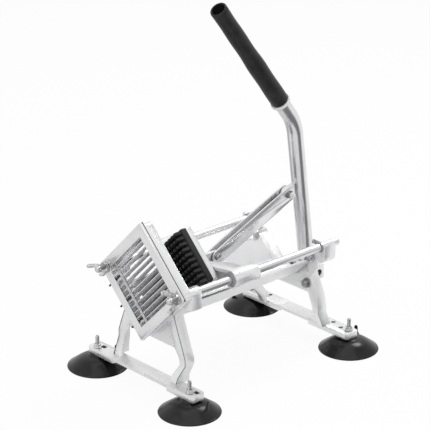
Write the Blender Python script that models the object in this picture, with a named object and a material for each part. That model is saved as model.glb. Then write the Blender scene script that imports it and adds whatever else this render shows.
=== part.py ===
"""Manual vegetable slicer: a lever pushes a pegged block through a square frame of parallel blades.

Metres, +Z up. The blade frame faces -Y, the lever stands at +Y, and the slicer is symmetric about X = 0.
The origin lies at table level, midway between the four suction cups.
"""

import math

import bmesh
import bpy
from mathutils import Matrix, Vector

# Fits and drawing values
GAP = 0.0003
OVERRUN = 0.004
OVERLAP = 0.001
CORNER_STEPS = 3
ROUND_SIDES = 20
SMALL_SIDES = 12
HEX_SIDES = 6
WELD = 0.00001
SMOOTH_ANGLE = math.radians(35)
HALF = 0.5
ROOT_TWO = math.sqrt(2)
SIDES = {"near": 1, "far": -1}

# Suction cups and their studs
CUP_RADIUS = 0.0392
CUP_HEIGHT = 0.0177
CUP_RIM = 0.0022
CUP_NECK_RADIUS = 0.011
CUP_RECESS = 0.0015
CUP_FACETS = 26
CUP_DOME_STEPS = 4
FOOT_FRONT_X = 0.088
FOOT_REAR_X = 0.091
FOOT_Y = 0.1365
STUD_RADIUS = 0.0025
STUD_TOP_Z = 0.042
FOOT_NUT_HEIGHT = 0.0035
FOOT_NUT_FLATS = 0.0075
FOOT_WASHER_RADIUS = 0.0052
FOOT_WASHER_THICKNESS = 0.0014

# Foot bars
BAR_LOW_Z = 0.0215
BAR_TOP_Z = 0.0256
BAR_STEP = 0.0005
PAD_LOW_Z = 0.018
PAD_TOP_Z = 0.026
BAR_CORNER = 0.004
FRONT_BAR_BACK_Y = -0.122
FRONT_BAR_FRONT_Y = -0.143
FRONT_PAD_INNER_X = 0.050
FRONT_PAD_OUTER_X = 0.1005
FRONT_SLOT_WIDTH = 0.008
FRONT_SLOT_DEPTH = 0.006
FRONT_SLOT_SHIFT_X = 0.005
FRONT_SLOT_SHIFT_Y = 0.0065
REAR_BAR_FRONT_Y = 0.124
REAR_BAR_BACK_Y = 0.146
REAR_PAD_INNER_X = 0.026
REAR_PAD_OUTER_X = 0.0995
REAR_HOLE_RADIUS = 0.0032
REAR_HOLE_INNER_X = 0.0595
REAR_HOLE_OUTER_X = 0.078
REAR_HOLE_INNER_Y = 0.140
REAR_HOLE_OUTER_Y = 0.135

# Angle-section legs, given by the outer crease and the inner edge at each level
LEG_WALL = 0.004
LEG_FLANGE = 0.015
LEG_TOP_Z = 0.112
LEG_CREASE_TOP_X = 0.0415
LEG_SHOULDER_Z = 0.095
LEG_SHOULDER_X = 0.0475
LEG_SHOULDER_INNER_X = 0.034
LEG_ARCH_X = 0.0585
LEG_ARCH_INNER_X = 0.044
LEG_KNEE_HIGH_Z = 0.055
LEG_KNEE_X = 0.063
LEG_KNEE_INNER_X = 0.0515
LEG_KNEE_LOW_Z = 0.047
LEG_KNEE_LOW_INNER_X = 0.0535
LEG_FOOT_X = 0.058
LEG_FOOT_INNER_X = 0.0465
LEG_FOOT_REACH = 0.012
LEG_FOOT_FLANGE = 0.022
LEG_TOE_Z = 0.033
LEG_TOE_SPREAD = 0.0015
LEG_TOE_REACH = 0.0088

# Front frame: web, ring and rod bosses
CENTRE_Z = 0.1436
WEB_THICKNESS = 0.004
CASTING_STEP = 0.0002
FRONT_WEB_Y = -0.1213
FRONT_ARCH_Z = 0.066
FRONT_WEB_TOP_Z = 0.118
FRONT_WEB_TOP_X = 0.042
RING_SIDE = 0.110
RING_FRONT_Y = -0.1332
RING_BACK_Y = -0.1205
RING_CORNER = 0.006
RING_WINDOW = 0.086
RING_SEAT = 0.0966
RING_SEAT_DEPTH = 0.009
ROD_X = 0.067
ROD_RADIUS = 0.00525
FRONT_BOSS_BACK_Y = -0.105
FRONT_BOSS_HALF_WIDTH = 0.0083
FRONT_BOSS_LOW_Z = 0.1245

# Feed trough: two slopes at 45 degrees over a round bottom
TROUGH_LINE_Z = 0.0755
TROUGH_WALL = 0.0035
TROUGH_BOTTOM_RADIUS = 0.034
TROUGH_TOP_Z = 0.1225
TROUGH_BACK_Y = 0.1077
TROUGH_BOTTOM_STEPS = 10
TROUGH_TAB_RADIUS = 0.0062
TROUGH_TAB_THICKNESS = 0.003
RAIL_BOLT_X = 0.0505
RAIL_BOLT_Z = 0.1265

# Rear frame: web, saddle and rod bosses
REAR_WEB_Y = 0.108
REAR_ARCH_Z = 0.073
REAR_SADDLE_BACK_Y = 0.127
REAR_SADDLE_WALL = 0.005
REAR_BOSS_FRONT_Y = 0.104
REAR_BOSS_BACK_Y = 0.123
REAR_BOSS_RADIUS = 0.0095
REAR_BOSS_LOW_Z = 0.122
REAR_ROD_BACK_Y = 0.1355
ROD_CHAMFER = 0.001
SHOULDER_X = 0.060
SHOULDER_Z = 0.133
SHOULDER_LOW_Z = 0.112
SET_SCREW_RADIUS = 0.0028
SET_SCREW_Y = 0.111
SET_SCREW_RISE = 0.001
NEAR_SET_SCREW_PROUD = 0.009
FAR_SET_SCREW_PROUD = 0.0043

# Threaded front ends of the guide rods, and the wing nuts
ROD_STUD_RADIUS = 0.0033
ROD_STUD_FRONT_Y = -0.152
WING_WASHER_RADIUS = 0.0075
WING_WASHER_THICKNESS = 0.0014
WING_HUB_LENGTH = 0.0085
WING_HUB_BASE_RADIUS = 0.0062
WING_HUB_TIP_RADIUS = 0.0048
WING_SPAN = 0.0155
WING_THICKNESS = 0.0026
WING_WIDTH = 0.0085
WING_LIFT = 0.006
WING_SHARES = ((0, 0.40), (0.45, 0.46), (0.75, 0.52), (0.92, 0.38), (1, 0.16))
NEAR_WING_TURN = math.radians(118)
FAR_WING_TURN = math.radians(172)

# Blade frame, tension bar and blades
FRAME_SIDE = 0.111
FRAME_WINDOW = 0.085
FRAME_FRONT_Y = -0.1375
FRAME_PLATE = 0.0033
FRAME_LAND_INSET = 0.004
FRAME_BODY_SIDE = 0.0956
FRAME_BODY_BACK_Y = -0.1252
FRAME_CORNER = 0.002
BLADE_COUNT = 11
BLADE_PITCH = 0.0075
BLADE_THICKNESS = 0.0007
BLADE_BACK_Y = -0.1262
BLADE_DEPTH = 0.0078
BLADE_EDGE = 0.0015
BLADE_SEAT = 0.003
TENSION_BAR_WIDTH = 0.004
TENSION_BAR_OFFSET = 0.012
TENSION_BAR_FRONT_Y = -0.1372
TENSION_BAR_THICKNESS = 0.0028
TENSION_SCREW_RADIUS = 0.00125
TENSION_SCREW_PITCHES = (-3.5, 0.5, 4.5)
TENSION_SCREW_PROUD = 0.0055

# Pusher block with its pegs
PUSHER_SIDE = 0.075
PUSHER_FRONT_Y = -0.072
PUSHER_BACK_Y = -0.065
PEG_COUNT = 10
PEG_WIDTH = 0.005
PEG_TIP_WIDTH = 0.0042
PEG_LENGTH = 0.016
PUSHER_SCREW_RADIUS = 0.003
PUSHER_SCREW_HEAD = 0.0022
PUSHER_SCREW_SPREAD = 0.027

# Pusher carriage
CARRIAGE_PLATE_BACK_Y = -0.057
SLEEVE_FRONT_Y = -0.050
SLEEVE_BACK_Y = -0.010
SLEEVE_RADIUS = 0.0116
SLEEVE_BORE = 0.0088
BUSH_RADIUS = 0.0085
BUSH_PROUD = 0.0015
ARM_TOP_Z = 0.1545
ARM_WALL = 0.004
ARM_PLATE_X = 0.024
ARM_BACK_Y = -0.029
LUG_HALF_WIDTH = 0.0025
LUG_RADIUS = 0.0075
LUG_BASE_HEIGHT = 0.034
FRONT_PIN_Y = -0.014
FRONT_PIN_Z = 0.1445
LINK_PIN_RADIUS = 0.003

# Link, a channel that opens upward
LINK_HALF_WIDTH = 0.006
LINK_WALL = 0.002
LINK_HALF_HEIGHT = 0.010
LINK_END_RADIUS = 0.0095
LINK_BOTTOM_CUT = 0.021
LINK_TAPER = 0.024

# Lever
PIVOT_Y = 0.145
PIVOT_Z = 0.084
REAR_PIN_Y = 0.1095
REAR_PIN_Z = 0.197
TUBE_RADIUS = 0.0095
TUBE_FOOT = 0.0065
BEND_Y = 0.116
BEND_Z = 0.295
BEND_RADIUS = 0.060
BEND_STEPS = 8
GRIP_END_Y = -0.0089
GRIP_END_Z = 0.4645
GRIP_FOOT = 0.0172
GRIP_RADIUS = 0.0112
GRIP_WAIST = 0.0006
GRIP_WALL = 0.0015
GRIP_STEPS = 6
GRIP_MOUTH_DEPTH = 0.012
COLLAR_LENGTH = 0.007
COLLAR_RADIUS = 0.0117
BARREL_RADIUS = 0.012
BARREL_BORE = 0.0048
LEVER_LUG_RADIUS = 0.0085
LEVER_LUG_HALF_WIDTH = 0.0028
LEVER_LUG_HEIGHT = 0.030

# Pivot bracket behind the rear web
BRACKET_BASE = 0.0047
BRACKET_LOW_Z = 0.0755
BRACKET_TOP_Z = 0.095
BRACKET_MIDDLE_TOP_Z = 0.0838
BRACKET_EAR_INSET = 0.004
BRACKET_EAR_REACH = 0.0075
BRACKET_EAR_TOP_Z = 0.0915
BRACKET_ROOT_TOP_Z = 0.0893
BRACKET_RISE_Y = 0.1295
BRACKET_LUG_INNER_X = 0.0212
BRACKET_LUG_WALL = 0.0058
BRACKET_BACK_Y = 0.1535
BRACKET_CORNER = 0.006
BRACKET_BOLT_INSET = 0.006
BRACKET_BOLT_Z = 0.085
PIVOT_PIN_RADIUS = 0.0045
PIVOT_RECESS = 0.0012

# Frame bolts
BOLT_RADIUS = 0.003
BOLT_HEAD_FLATS = 0.010
BOLT_HEAD_HEIGHT = 0.004
BOLT_WASHER_RADIUS = 0.0066
BOLT_WASHER_THICKNESS = 0.0012
PIN_HEAD_RADIUS = 0.0055
PIN_HEAD_HEIGHT = 0.003

# Values that follow from the sizes above
PITCH_SHARE = 1 / ROOT_TWO
ROD_SHOULDER_Y = RING_FRONT_Y + RING_SEAT_DEPTH + GAP
BRACKET_BOLT_X = LEG_SHOULDER_X - BRACKET_BOLT_INSET
BRACKET_EAR_OUTER_X = LEG_SHOULDER_X - BRACKET_EAR_INSET
BRACKET_EAR_INNER_X = BRACKET_BOLT_X - BRACKET_EAR_REACH
BLADE_AXIS = Vector((PITCH_SHARE, 0, PITCH_SHARE))
PITCH_AXIS = Vector((PITCH_SHARE, 0, -PITCH_SHARE))
CENTRE = Vector((0, 0, CENTRE_Z))


def clear_scene():
    """Removes the startup objects."""
    for old in list(bpy.data.objects):
        bpy.data.objects.remove(old, do_unlink=True)


def new_collection(name, hidden=False):
    """A collection of the scene, for the parts or for the shapes that make them."""
    made = bpy.data.collections.new(name)
    bpy.context.scene.collection.children.link(made)
    made.hide_render = hidden
    return made


def new_material(name, colour, roughness, metallic):
    """A Principled material of one colour."""
    made = bpy.data.materials.new(name)
    made.use_nodes = True
    shader = made.node_tree.nodes["Principled BSDF"]
    shader.inputs["Base Color"].default_value = (*colour, 1)
    shader.inputs["Roughness"].default_value = roughness
    shader.inputs["Metallic"].default_value = metallic
    return made


clear_scene()
PARTS = new_collection("vegetable_slicer")
TOOLS = new_collection("cutters", hidden=True)
CAST = new_material("cast_aluminium", (0.80, 0.80, 0.81), 0.38, 0.9)
STEEL = new_material("polished_steel", (0.72, 0.72, 0.73), 0.22, 1)
CHROME = new_material("chrome_tube", (0.80, 0.80, 0.81), 0.10, 1)
ZINC = new_material("zinc_plate", (0.70, 0.71, 0.73), 0.28, 1)
DARK = new_material("black_oxide", (0.03, 0.03, 0.032), 0.35, 0.8)
BLADE_STEEL = new_material("blade_steel", (0.75, 0.76, 0.78), 0.15, 1)
BLACK_PLASTIC = new_material("black_plastic", (0.012, 0.012, 0.013), 0.45, 0)
RUBBER = new_material("black_rubber", (0.01, 0.01, 0.01), 0.55, 0)


def object_of(shape, name="tool"):
    """A helper object that holds the mesh of a bmesh."""
    mesh = bpy.data.meshes.new(name)
    bmesh.ops.recalc_face_normals(shape, faces=shape.faces)
    shape.to_mesh(mesh)
    shape.free()
    made = bpy.data.objects.new(name, mesh)
    TOOLS.objects.link(made)
    made.hide_render = True
    made.display_type = "WIRE"
    return made


def block(low, high):
    """A box between two corners."""
    low, high = Vector(low), Vector(high)
    shape = bmesh.new()
    bmesh.ops.create_cube(shape, size=1)
    bmesh.ops.scale(shape, vec=high - low, verts=shape.verts)
    bmesh.ops.translate(shape, vec=(low + high) * HALF, verts=shape.verts)
    return object_of(shape)


def round_bar(start, end, radius, end_radius=None, sides=ROUND_SIDES, turn=0):
    """A cylinder, or a cone when the end has a radius of its own."""
    start, end = Vector(start), Vector(end)
    axis = end - start
    shape = bmesh.new()
    bmesh.ops.create_cone(
        shape,
        cap_ends=True,
        segments=sides,
        radius1=radius,
        radius2=radius if end_radius is None else end_radius,
        depth=axis.length,
    )
    spin = Matrix.Rotation(turn, 4, "Z")
    aim = axis.to_track_quat("Z", "Y").to_matrix().to_4x4()
    bmesh.ops.transform(shape, matrix=Matrix.Translation((start + end) * HALF) @ aim @ spin, verts=shape.verts)
    return object_of(shape)


def hexagon(start, end, flats):
    """A hexagonal prism, given by its width across flats."""
    return round_bar(start, end, flats / math.sqrt(3), sides=HEX_SIDES)


def arc(centre, radius, start, end, steps):
    """Points of an arc in a plane, with angles in degrees."""
    angles = [math.radians(start + (end - start) * step / steps) for step in range(steps + 1)]
    return [(centre[0] + radius * math.cos(a), centre[1] + radius * math.sin(a)) for a in angles]


def rounded(points, radius, steps=CORNER_STEPS):
    """The outline with each corner rounded to the radius."""
    out = []
    for index, point in enumerate(points):
        corner = Vector(point)
        before = (Vector(points[index - 1]) - corner).normalized()
        after = (Vector(points[(index + 1) % len(points)]) - corner).normalized()
        half_angle = before.angle(after) * HALF
        centre = corner + (before + after).normalized() * radius / math.sin(half_angle)
        start = corner + before * radius / math.tan(half_angle) - centre
        turn = before.angle(after) - math.pi
        turn = turn if before.cross(after) > 0 else -turn
        for step in range(steps + 1):
            out.append(tuple(centre + Matrix.Rotation(turn * step / steps, 2) @ start))
    return out


def circle(centre, radius, sides=ROUND_SIDES):
    """A closed circle as an outline."""
    return arc(centre, radius, 0, 360, sides)[:-1]


def diamond(side, corner=0):
    """A square standing on one corner, in X and Z, about the blade centre."""
    half = side / ROOT_TWO
    points = [(half, CENTRE_Z), (0, CENTRE_Z + half), (-half, CENTRE_Z), (0, CENTRE_Z - half)]
    return rounded(points, corner) if corner else points


PLANES = {
    "X": Matrix(((0, 0, 1), (1, 0, 0), (0, 1, 0))).to_4x4(),
    "Y": Matrix(((1, 0, 0), (0, 0, -1), (0, 1, 0))).to_4x4(),
    "Z": Matrix.Identity(4),
}


def plate(outlines, axis, low, high):
    """Flat outlines, the first the outside and the rest holes, extruded along an axis from low to high."""
    curve = bpy.data.curves.new("outline", "CURVE")
    curve.dimensions = "2D"
    curve.fill_mode = "BOTH"
    curve.extrude = (high - low) * HALF
    for points in outlines:
        spline = curve.splines.new("POLY")
        spline.points.add(len(points) - 1)
        for spot, (u, v) in zip(spline.points, points):
            spot.co = (u, v, 0, 1)
        spline.use_cyclic_u = True
    drawn = bpy.data.objects.new("outline", curve)
    TOOLS.objects.link(drawn)
    middle = (high + low) * HALF
    place = {"X": Vector((middle, 0, 0)), "Y": Vector((0, middle, 0)), "Z": Vector((0, 0, middle))}[axis]
    drawn.matrix_world = Matrix.Translation(place) @ PLANES[axis]
    bpy.context.view_layer.update()
    return meshed(drawn)


def meshed(drawn):
    """The curve object turned into a closed mesh object in world space."""
    graph = bpy.context.evaluated_depsgraph_get()
    mesh = bpy.data.meshes.new_from_object(drawn.evaluated_get(graph))
    mesh.transform(drawn.matrix_world)
    shape = bmesh.new()
    shape.from_mesh(mesh)
    bmesh.ops.remove_doubles(shape, verts=shape.verts, dist=WELD)
    bpy.data.meshes.remove(mesh)
    bpy.data.objects.remove(drawn, do_unlink=True)
    return object_of(shape)


def loft(sections):
    """A closed solid through sections that have the same number of points."""
    shape = bmesh.new()
    rings = [[shape.verts.new(point) for point in section] for section in sections]
    count = len(rings[0])
    for lower, upper in zip(rings, rings[1:]):
        for index in range(count):
            after = (index + 1) % count
            shape.faces.new((lower[index], lower[after], upper[after], upper[index]))
    shape.faces.new(rings[0])
    shape.faces.new(rings[-1])
    return object_of(shape)


def turned(profile, start, axis, sides=ROUND_SIDES):
    """A solid of revolution from a profile of (distance along the axis, radius), closed on the axis."""
    shape = bmesh.new()
    aim = Matrix.Translation(start) @ Vector(axis).to_track_quat("Z", "Y").to_matrix().to_4x4()
    points = [shape.verts.new(aim @ Vector((radius, 0, along))) for along, radius in profile]
    edges = [shape.edges.new(pair) for pair in zip(points, points[1:])]
    bmesh.ops.spin(
        shape,
        geom=points + edges,
        cent=start,
        axis=Vector(axis).normalized(),
        angle=math.tau,
        steps=sides,
        use_merge=True,
    )
    bmesh.ops.remove_doubles(shape, verts=shape.verts, dist=WELD)
    bmesh.ops.dissolve_degenerate(shape, edges=shape.edges, dist=WELD)
    return object_of(shape)


def mirrored(tool):
    """A copy of a helper on the other side of X = 0."""
    shape = bmesh.new()
    shape.from_mesh(tool.data)
    bmesh.ops.scale(shape, vec=(-1, 1, 1), verts=shape.verts)
    bmesh.ops.reverse_faces(shape, faces=shape.faces)
    return object_of(shape)


def both_sides(tools):
    """The helpers and their mirror images."""
    return tools + [mirrored(tool) for tool in tools]


def combined(base, joins=(), cuts=()):
    """The base with every join added and every cut taken away, by exact Booleans."""
    for operation, helpers in (("UNION", joins), ("DIFFERENCE", cuts)):
        for helper in helpers:
            modifier = base.modifiers.new(operation.lower(), "BOOLEAN")
            modifier.operation = operation
            modifier.solver = "EXACT"
            modifier.object = helper
    bpy.context.view_layer.update()
    graph = bpy.context.evaluated_depsgraph_get()
    mesh = bpy.data.meshes.new_from_object(base.evaluated_get(graph))
    base.modifiers.clear()
    base.data = mesh
    for helper in (*joins, *cuts):
        bpy.data.objects.remove(helper, do_unlink=True)
    return base


def gathered(tools):
    """Separate solids in one helper, such as the pegs before they join their block."""
    shape = bmesh.new()
    for tool in tools:
        shape.from_mesh(tool.data)
        bpy.data.objects.remove(tool, do_unlink=True)
    return object_of(shape)


def finish(name, tool, material, origin=(0, 0, 0)):
    """Makes a helper the named part, with its origin on its joint or its seat."""
    origin = Vector(origin)
    tool.name = name
    tool.data.name = name
    tool.data.transform(Matrix.Translation(-origin))
    tool.location = origin
    tool.data.materials.clear()
    tool.data.materials.append(material)
    tool.data.shade_smooth()
    tool.data.set_sharp_from_angle(angle=SMOOTH_ANGLE)
    TOOLS.objects.unlink(tool)
    PARTS.objects.link(tool)
    tool.hide_render = False
    tool.display_type = "TEXTURED"
    return tool


def leg_sections(front_y, facing, arch_z):
    """Horizontal sections of one angle-section leg, from the foot up.

    The front strip stands at front_y, and facing is +1 where the flange runs to +Y and the foot to -Y,
    and -1 where the leg is mirrored, so that its foot and its flange both run to +Y.
    """
    levels = [
        (BAR_TOP_Z - OVERLAP, LEG_FOOT_X + LEG_TOE_SPREAD, LEG_FOOT_INNER_X, LEG_FOOT_REACH, LEG_FOOT_FLANGE),
        (LEG_TOE_Z, LEG_FOOT_X + LEG_TOE_SPREAD, LEG_FOOT_INNER_X + LEG_TOE_SPREAD, LEG_TOE_REACH,
         LEG_FLANGE + LEG_WALL),
        (LEG_KNEE_LOW_Z, LEG_KNEE_X, LEG_KNEE_LOW_INNER_X, 0, LEG_FLANGE),
        (LEG_KNEE_HIGH_Z, LEG_KNEE_X, LEG_KNEE_INNER_X, 0, LEG_FLANGE),
        (arch_z, LEG_ARCH_X, LEG_ARCH_INNER_X, 0, LEG_FLANGE),
        (LEG_SHOULDER_Z, LEG_SHOULDER_X, LEG_SHOULDER_INNER_X, 0, LEG_FLANGE),
        (LEG_TOP_Z, LEG_CREASE_TOP_X, LEG_SHOULDER_INNER_X - LEG_WALL, 0, LEG_FLANGE),
    ]
    sections = []
    for z, outer, inner, reach, flange in levels:
        if facing > 0:
            strip_y = front_y - reach
            flange_y = front_y - reach + flange
        else:
            strip_y = front_y + reach
            flange_y = front_y + reach + LEG_FLANGE
        sections.append([
            (inner, strip_y, z),
            (outer, strip_y, z),
            (outer, flange_y, z),
            (outer - LEG_WALL, flange_y, z),
            (outer - LEG_WALL, strip_y + LEG_WALL, z),
            (inner, strip_y + LEG_WALL, z),
        ])
    return sections


def foot_bar(front_y, back_y, pad_x):
    """The flat bar that joins two pads, and ends inside them."""
    end_x = pad_x + BAR_CORNER
    return block((-end_x, front_y + BAR_STEP, BAR_LOW_Z), (end_x, back_y - BAR_STEP, BAR_TOP_Z))


def foot_pad(front_y, back_y, inner_x, outer_x):
    """The thicker end of a foot bar, on the near side."""
    corners = [(inner_x, front_y), (outer_x, front_y), (outer_x, back_y), (inner_x, back_y)]
    outline = rounded(corners, BAR_CORNER)
    return plate([outline], "Z", PAD_LOW_Z, PAD_TOP_Z)


def stud_hole(x, y):
    """The hole for a foot's stud, on the near side."""
    return round_bar(
        (x, y, PAD_LOW_Z - OVERRUN), (x, y, PAD_TOP_Z + OVERRUN), STUD_RADIUS + GAP, sides=SMALL_SIDES
    )


def foot_slot(stud_x):
    """The square slot beside a front stud. It lies to the same side of both studs."""
    centre = Vector((stud_x + FRONT_SLOT_SHIFT_X, FRONT_SLOT_SHIFT_Y - FOOT_Y, PAD_TOP_Z))
    reach = Vector((FRONT_SLOT_WIDTH * HALF, FRONT_SLOT_DEPTH * HALF, PAD_TOP_Z - PAD_LOW_Z + OVERRUN))
    return block(centre - reach, centre + reach)


def trough_line(offset, top_z, reach=0):
    """The trough's section line from the far top edge to the near one, moved outward by an offset."""
    centre_z = TROUGH_LINE_Z + TROUGH_BOTTOM_RADIUS * ROOT_TWO
    bottom = arc((0, centre_z), TROUGH_BOTTOM_RADIUS + offset, 225, 315, TROUGH_BOTTOM_STEPS)
    top_x = top_z - TROUGH_LINE_Z + offset * ROOT_TWO
    return [(-top_x - reach, top_z + reach), *bottom, (top_x + reach, top_z + reach)]


def trough_section(wall, top_z):
    """The closed section of a trough wall."""
    return trough_line(wall, top_z) + trough_line(0, top_z)[::-1]


def trough_space(low_y, high_y):
    """What the trough leaves open, as a cutter."""
    outline = trough_line(GAP, TROUGH_TOP_Z, reach=RING_SIDE)
    return plate([outline], "Y", low_y, high_y)


def make_front_frame():
    """Front casting: ring for the blade frame, web, two legs, foot bar and rod bosses."""
    ring = plate([diamond(RING_SIDE, RING_CORNER)], "Y", RING_FRONT_Y, RING_BACK_Y)
    web_outline = [
        (-LEG_ARCH_INNER_X - OVERLAP, FRONT_ARCH_Z),
        (LEG_ARCH_INNER_X + OVERLAP, FRONT_ARCH_Z),
        (LEG_SHOULDER_X - OVERLAP, LEG_SHOULDER_Z),
        (FRONT_WEB_TOP_X, FRONT_WEB_TOP_Z),
        (-FRONT_WEB_TOP_X, FRONT_WEB_TOP_Z),
        (-LEG_SHOULDER_X + OVERLAP, LEG_SHOULDER_Z),
    ]
    web = plate([web_outline], "Y", FRONT_WEB_Y, FRONT_WEB_Y + WEB_THICKNESS)
    boss_low, boss_high = ROD_X - FRONT_BOSS_HALF_WIDTH, ROD_X + FRONT_BOSS_HALF_WIDTH
    boss_outline = [(boss_low, FRONT_BOSS_LOW_Z), (boss_high, FRONT_BOSS_LOW_Z)]
    boss_outline += arc((ROD_X, CENTRE_Z), FRONT_BOSS_HALF_WIDTH, 0, 180, ROUND_SIDES // 2)
    boss = plate([boss_outline], "Y", RING_BACK_Y - OVERLAP, FRONT_BOSS_BACK_Y)
    leg = loft(leg_sections(FRONT_WEB_Y - CASTING_STEP, 1, FRONT_ARCH_Z))
    pad = foot_pad(FRONT_BAR_FRONT_Y, FRONT_BAR_BACK_Y, FRONT_PAD_INNER_X, FRONT_PAD_OUTER_X)
    bar = foot_bar(FRONT_BAR_FRONT_Y, FRONT_BAR_BACK_Y, FRONT_PAD_INNER_X)
    joins = [web, bar, *both_sides([boss, leg, pad])]
    slots = [foot_slot(sign * FOOT_FRONT_X) for sign in SIDES.values()]
    rod_hole = round_bar(
        (ROD_X, ROD_SHOULDER_Y - OVERLAP, CENTRE_Z),
        (ROD_X, FRONT_BOSS_BACK_Y + OVERRUN, CENTRE_Z),
        ROD_RADIUS + GAP,
    )
    thread_hole = round_bar(
        (ROD_X, RING_FRONT_Y - OVERRUN, CENTRE_Z), (ROD_X, RING_BACK_Y, CENTRE_Z), ROD_STUD_RADIUS + GAP
    )
    window = plate([diamond(RING_WINDOW)], "Y", RING_FRONT_Y - OVERRUN, FRONT_WEB_Y + WEB_THICKNESS + OVERRUN)
    seat_outline = diamond(RING_SEAT, FRAME_CORNER)
    seat = plate([seat_outline], "Y", RING_FRONT_Y - OVERRUN, RING_FRONT_Y + RING_SEAT_DEPTH)
    cuts = [window, seat, *slots, *both_sides([rod_hole, thread_hole, stud_hole(FOOT_FRONT_X, -FOOT_Y)])]
    finish("front_frame", combined(ring, joins, cuts), CAST)


def make_feed_trough():
    """Trough between the front and rear castings, with a bolting tab at each rear corner."""
    low_y = FRONT_WEB_Y + WEB_THICKNESS + GAP
    wall = plate([trough_section(TROUGH_WALL, TROUGH_TOP_Z)], "Y", low_y, TROUGH_BACK_Y)
    corner = Vector((TROUGH_TOP_Z - TROUGH_LINE_Z, TROUGH_TOP_Z - TROUGH_WALL))
    tab_outline = arc((RAIL_BOLT_X, RAIL_BOLT_Z), TROUGH_TAB_RADIUS, -45, 225, ROUND_SIDES // 2)
    tab_outline.append(tuple(corner - Vector((0, TROUGH_WALL))))
    tab_outline.append(tuple(corner + Vector((TROUGH_WALL, -TROUGH_WALL))))
    tab = plate([tab_outline], "Y", TROUGH_BACK_Y - TROUGH_TAB_THICKNESS, TROUGH_BACK_Y - CASTING_STEP)
    hole = bolt_hole(RAIL_BOLT_X, RAIL_BOLT_Z, TROUGH_BACK_Y - BOLT_HEAD_HEIGHT * 2, REAR_WEB_Y)
    leg_flange = FRONT_WEB_Y + LEG_FLANGE + GAP
    notch = block(
        (LEG_SHOULDER_INNER_X - LEG_WALL - GAP, low_y - OVERRUN, LEG_SHOULDER_Z - LEG_FLANGE),
        (LEG_SHOULDER_X + LEG_WALL, leg_flange, LEG_TOP_Z + GAP),
    )
    face_y = TROUGH_BACK_Y - TROUGH_TAB_THICKNESS
    spot_face = round_bar(
        (RAIL_BOLT_X, face_y - BOLT_HEAD_HEIGHT - BOLT_WASHER_THICKNESS - OVERRUN, RAIL_BOLT_Z),
        (RAIL_BOLT_X, face_y - CASTING_STEP * HALF, RAIL_BOLT_Z),
        BOLT_WASHER_RADIUS + GAP * 2,
    )
    rest = trough_space(low_y - OVERRUN, REAR_WEB_Y + OVERRUN)
    wall = combined(wall, both_sides([tab]), both_sides([hole, notch, spot_face]) + [rest])
    finish("feed_trough", wall, CAST)


def bolt_hole(x, z, low_y, high_y):
    """A clearance hole along Y for a frame bolt."""
    return round_bar((x, low_y, z), (x, high_y + OVERRUN, z), BOLT_RADIUS + GAP, sides=SMALL_SIDES)


def make_rear_frame():
    """Rear casting: saddle for the trough, web, two legs, foot bar and rod bosses."""
    web_outline = [
        (-LEG_ARCH_INNER_X - OVERLAP, REAR_ARCH_Z),
        (LEG_ARCH_INNER_X + OVERLAP, REAR_ARCH_Z),
        (LEG_SHOULDER_X - OVERLAP, LEG_SHOULDER_Z),
        (SHOULDER_X, SHOULDER_LOW_Z),
        (SHOULDER_X, SHOULDER_Z),
        (-SHOULDER_X, SHOULDER_Z),
        (-SHOULDER_X, SHOULDER_LOW_Z),
        (-LEG_SHOULDER_X + OVERLAP, LEG_SHOULDER_Z),
    ]
    web = plate([web_outline], "Y", REAR_WEB_Y, REAR_WEB_Y + WEB_THICKNESS)
    saddle = plate(
        [trough_section(REAR_SADDLE_WALL, SHOULDER_Z - REAR_SADDLE_WALL)], "Y", REAR_WEB_Y + CASTING_STEP,
        REAR_SADDLE_BACK_Y,
    )
    boss_outline = arc((ROD_X, CENTRE_Z), REAR_BOSS_RADIUS, 0, 180, ROUND_SIDES // 2)
    low_centre = (ROD_X, REAR_BOSS_LOW_Z + REAR_BOSS_RADIUS)
    boss_outline += arc(low_centre, REAR_BOSS_RADIUS, 180, 360, ROUND_SIDES // 2)
    boss = plate([boss_outline], "Y", REAR_BOSS_FRONT_Y, REAR_BOSS_BACK_Y)
    leg = loft(leg_sections(REAR_WEB_Y - CASTING_STEP, -1, REAR_ARCH_Z))
    pad = foot_pad(REAR_BAR_FRONT_Y, REAR_BAR_BACK_Y, REAR_PAD_INNER_X, REAR_PAD_OUTER_X)
    bar = foot_bar(REAR_BAR_FRONT_Y, REAR_BAR_BACK_Y, REAR_PAD_INNER_X)
    joins = [saddle, bar, *both_sides([boss, leg, pad])]
    rod_hole = round_bar(
        (ROD_X, REAR_BOSS_FRONT_Y - OVERRUN, CENTRE_Z),
        (ROD_X, REAR_BOSS_BACK_Y + OVERRUN, CENTRE_Z),
        ROD_RADIUS + GAP,
    )
    holes = [
        round_bar((x, y, PAD_LOW_Z - OVERRUN), (x, y, PAD_TOP_Z + OVERRUN), REAR_HOLE_RADIUS, sides=SMALL_SIDES)
        for x, y in ((REAR_HOLE_INNER_X, REAR_HOLE_INNER_Y), (REAR_HOLE_OUTER_X, REAR_HOLE_OUTER_Y))
    ]
    rail_hole = bolt_hole(RAIL_BOLT_X, RAIL_BOLT_Z, REAR_WEB_Y - OVERRUN, REAR_SADDLE_BACK_Y)
    bracket_hole = bolt_hole(BRACKET_BOLT_X, BRACKET_BOLT_Z, REAR_WEB_Y - OVERRUN, REAR_WEB_Y + WEB_THICKNESS)
    screw_holes = [clamp_screw(side, GAP) for side in SIDES]
    space = trough_space(REAR_BOSS_FRONT_Y - OVERRUN, REAR_SADDLE_BACK_Y + OVERRUN)
    near = [rod_hole, *holes, rail_hole, bracket_hole, stud_hole(FOOT_REAR_X, FOOT_Y)]
    finish("rear_frame", combined(web, joins, [space, *screw_holes, *both_sides(near)]), CAST)


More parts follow.
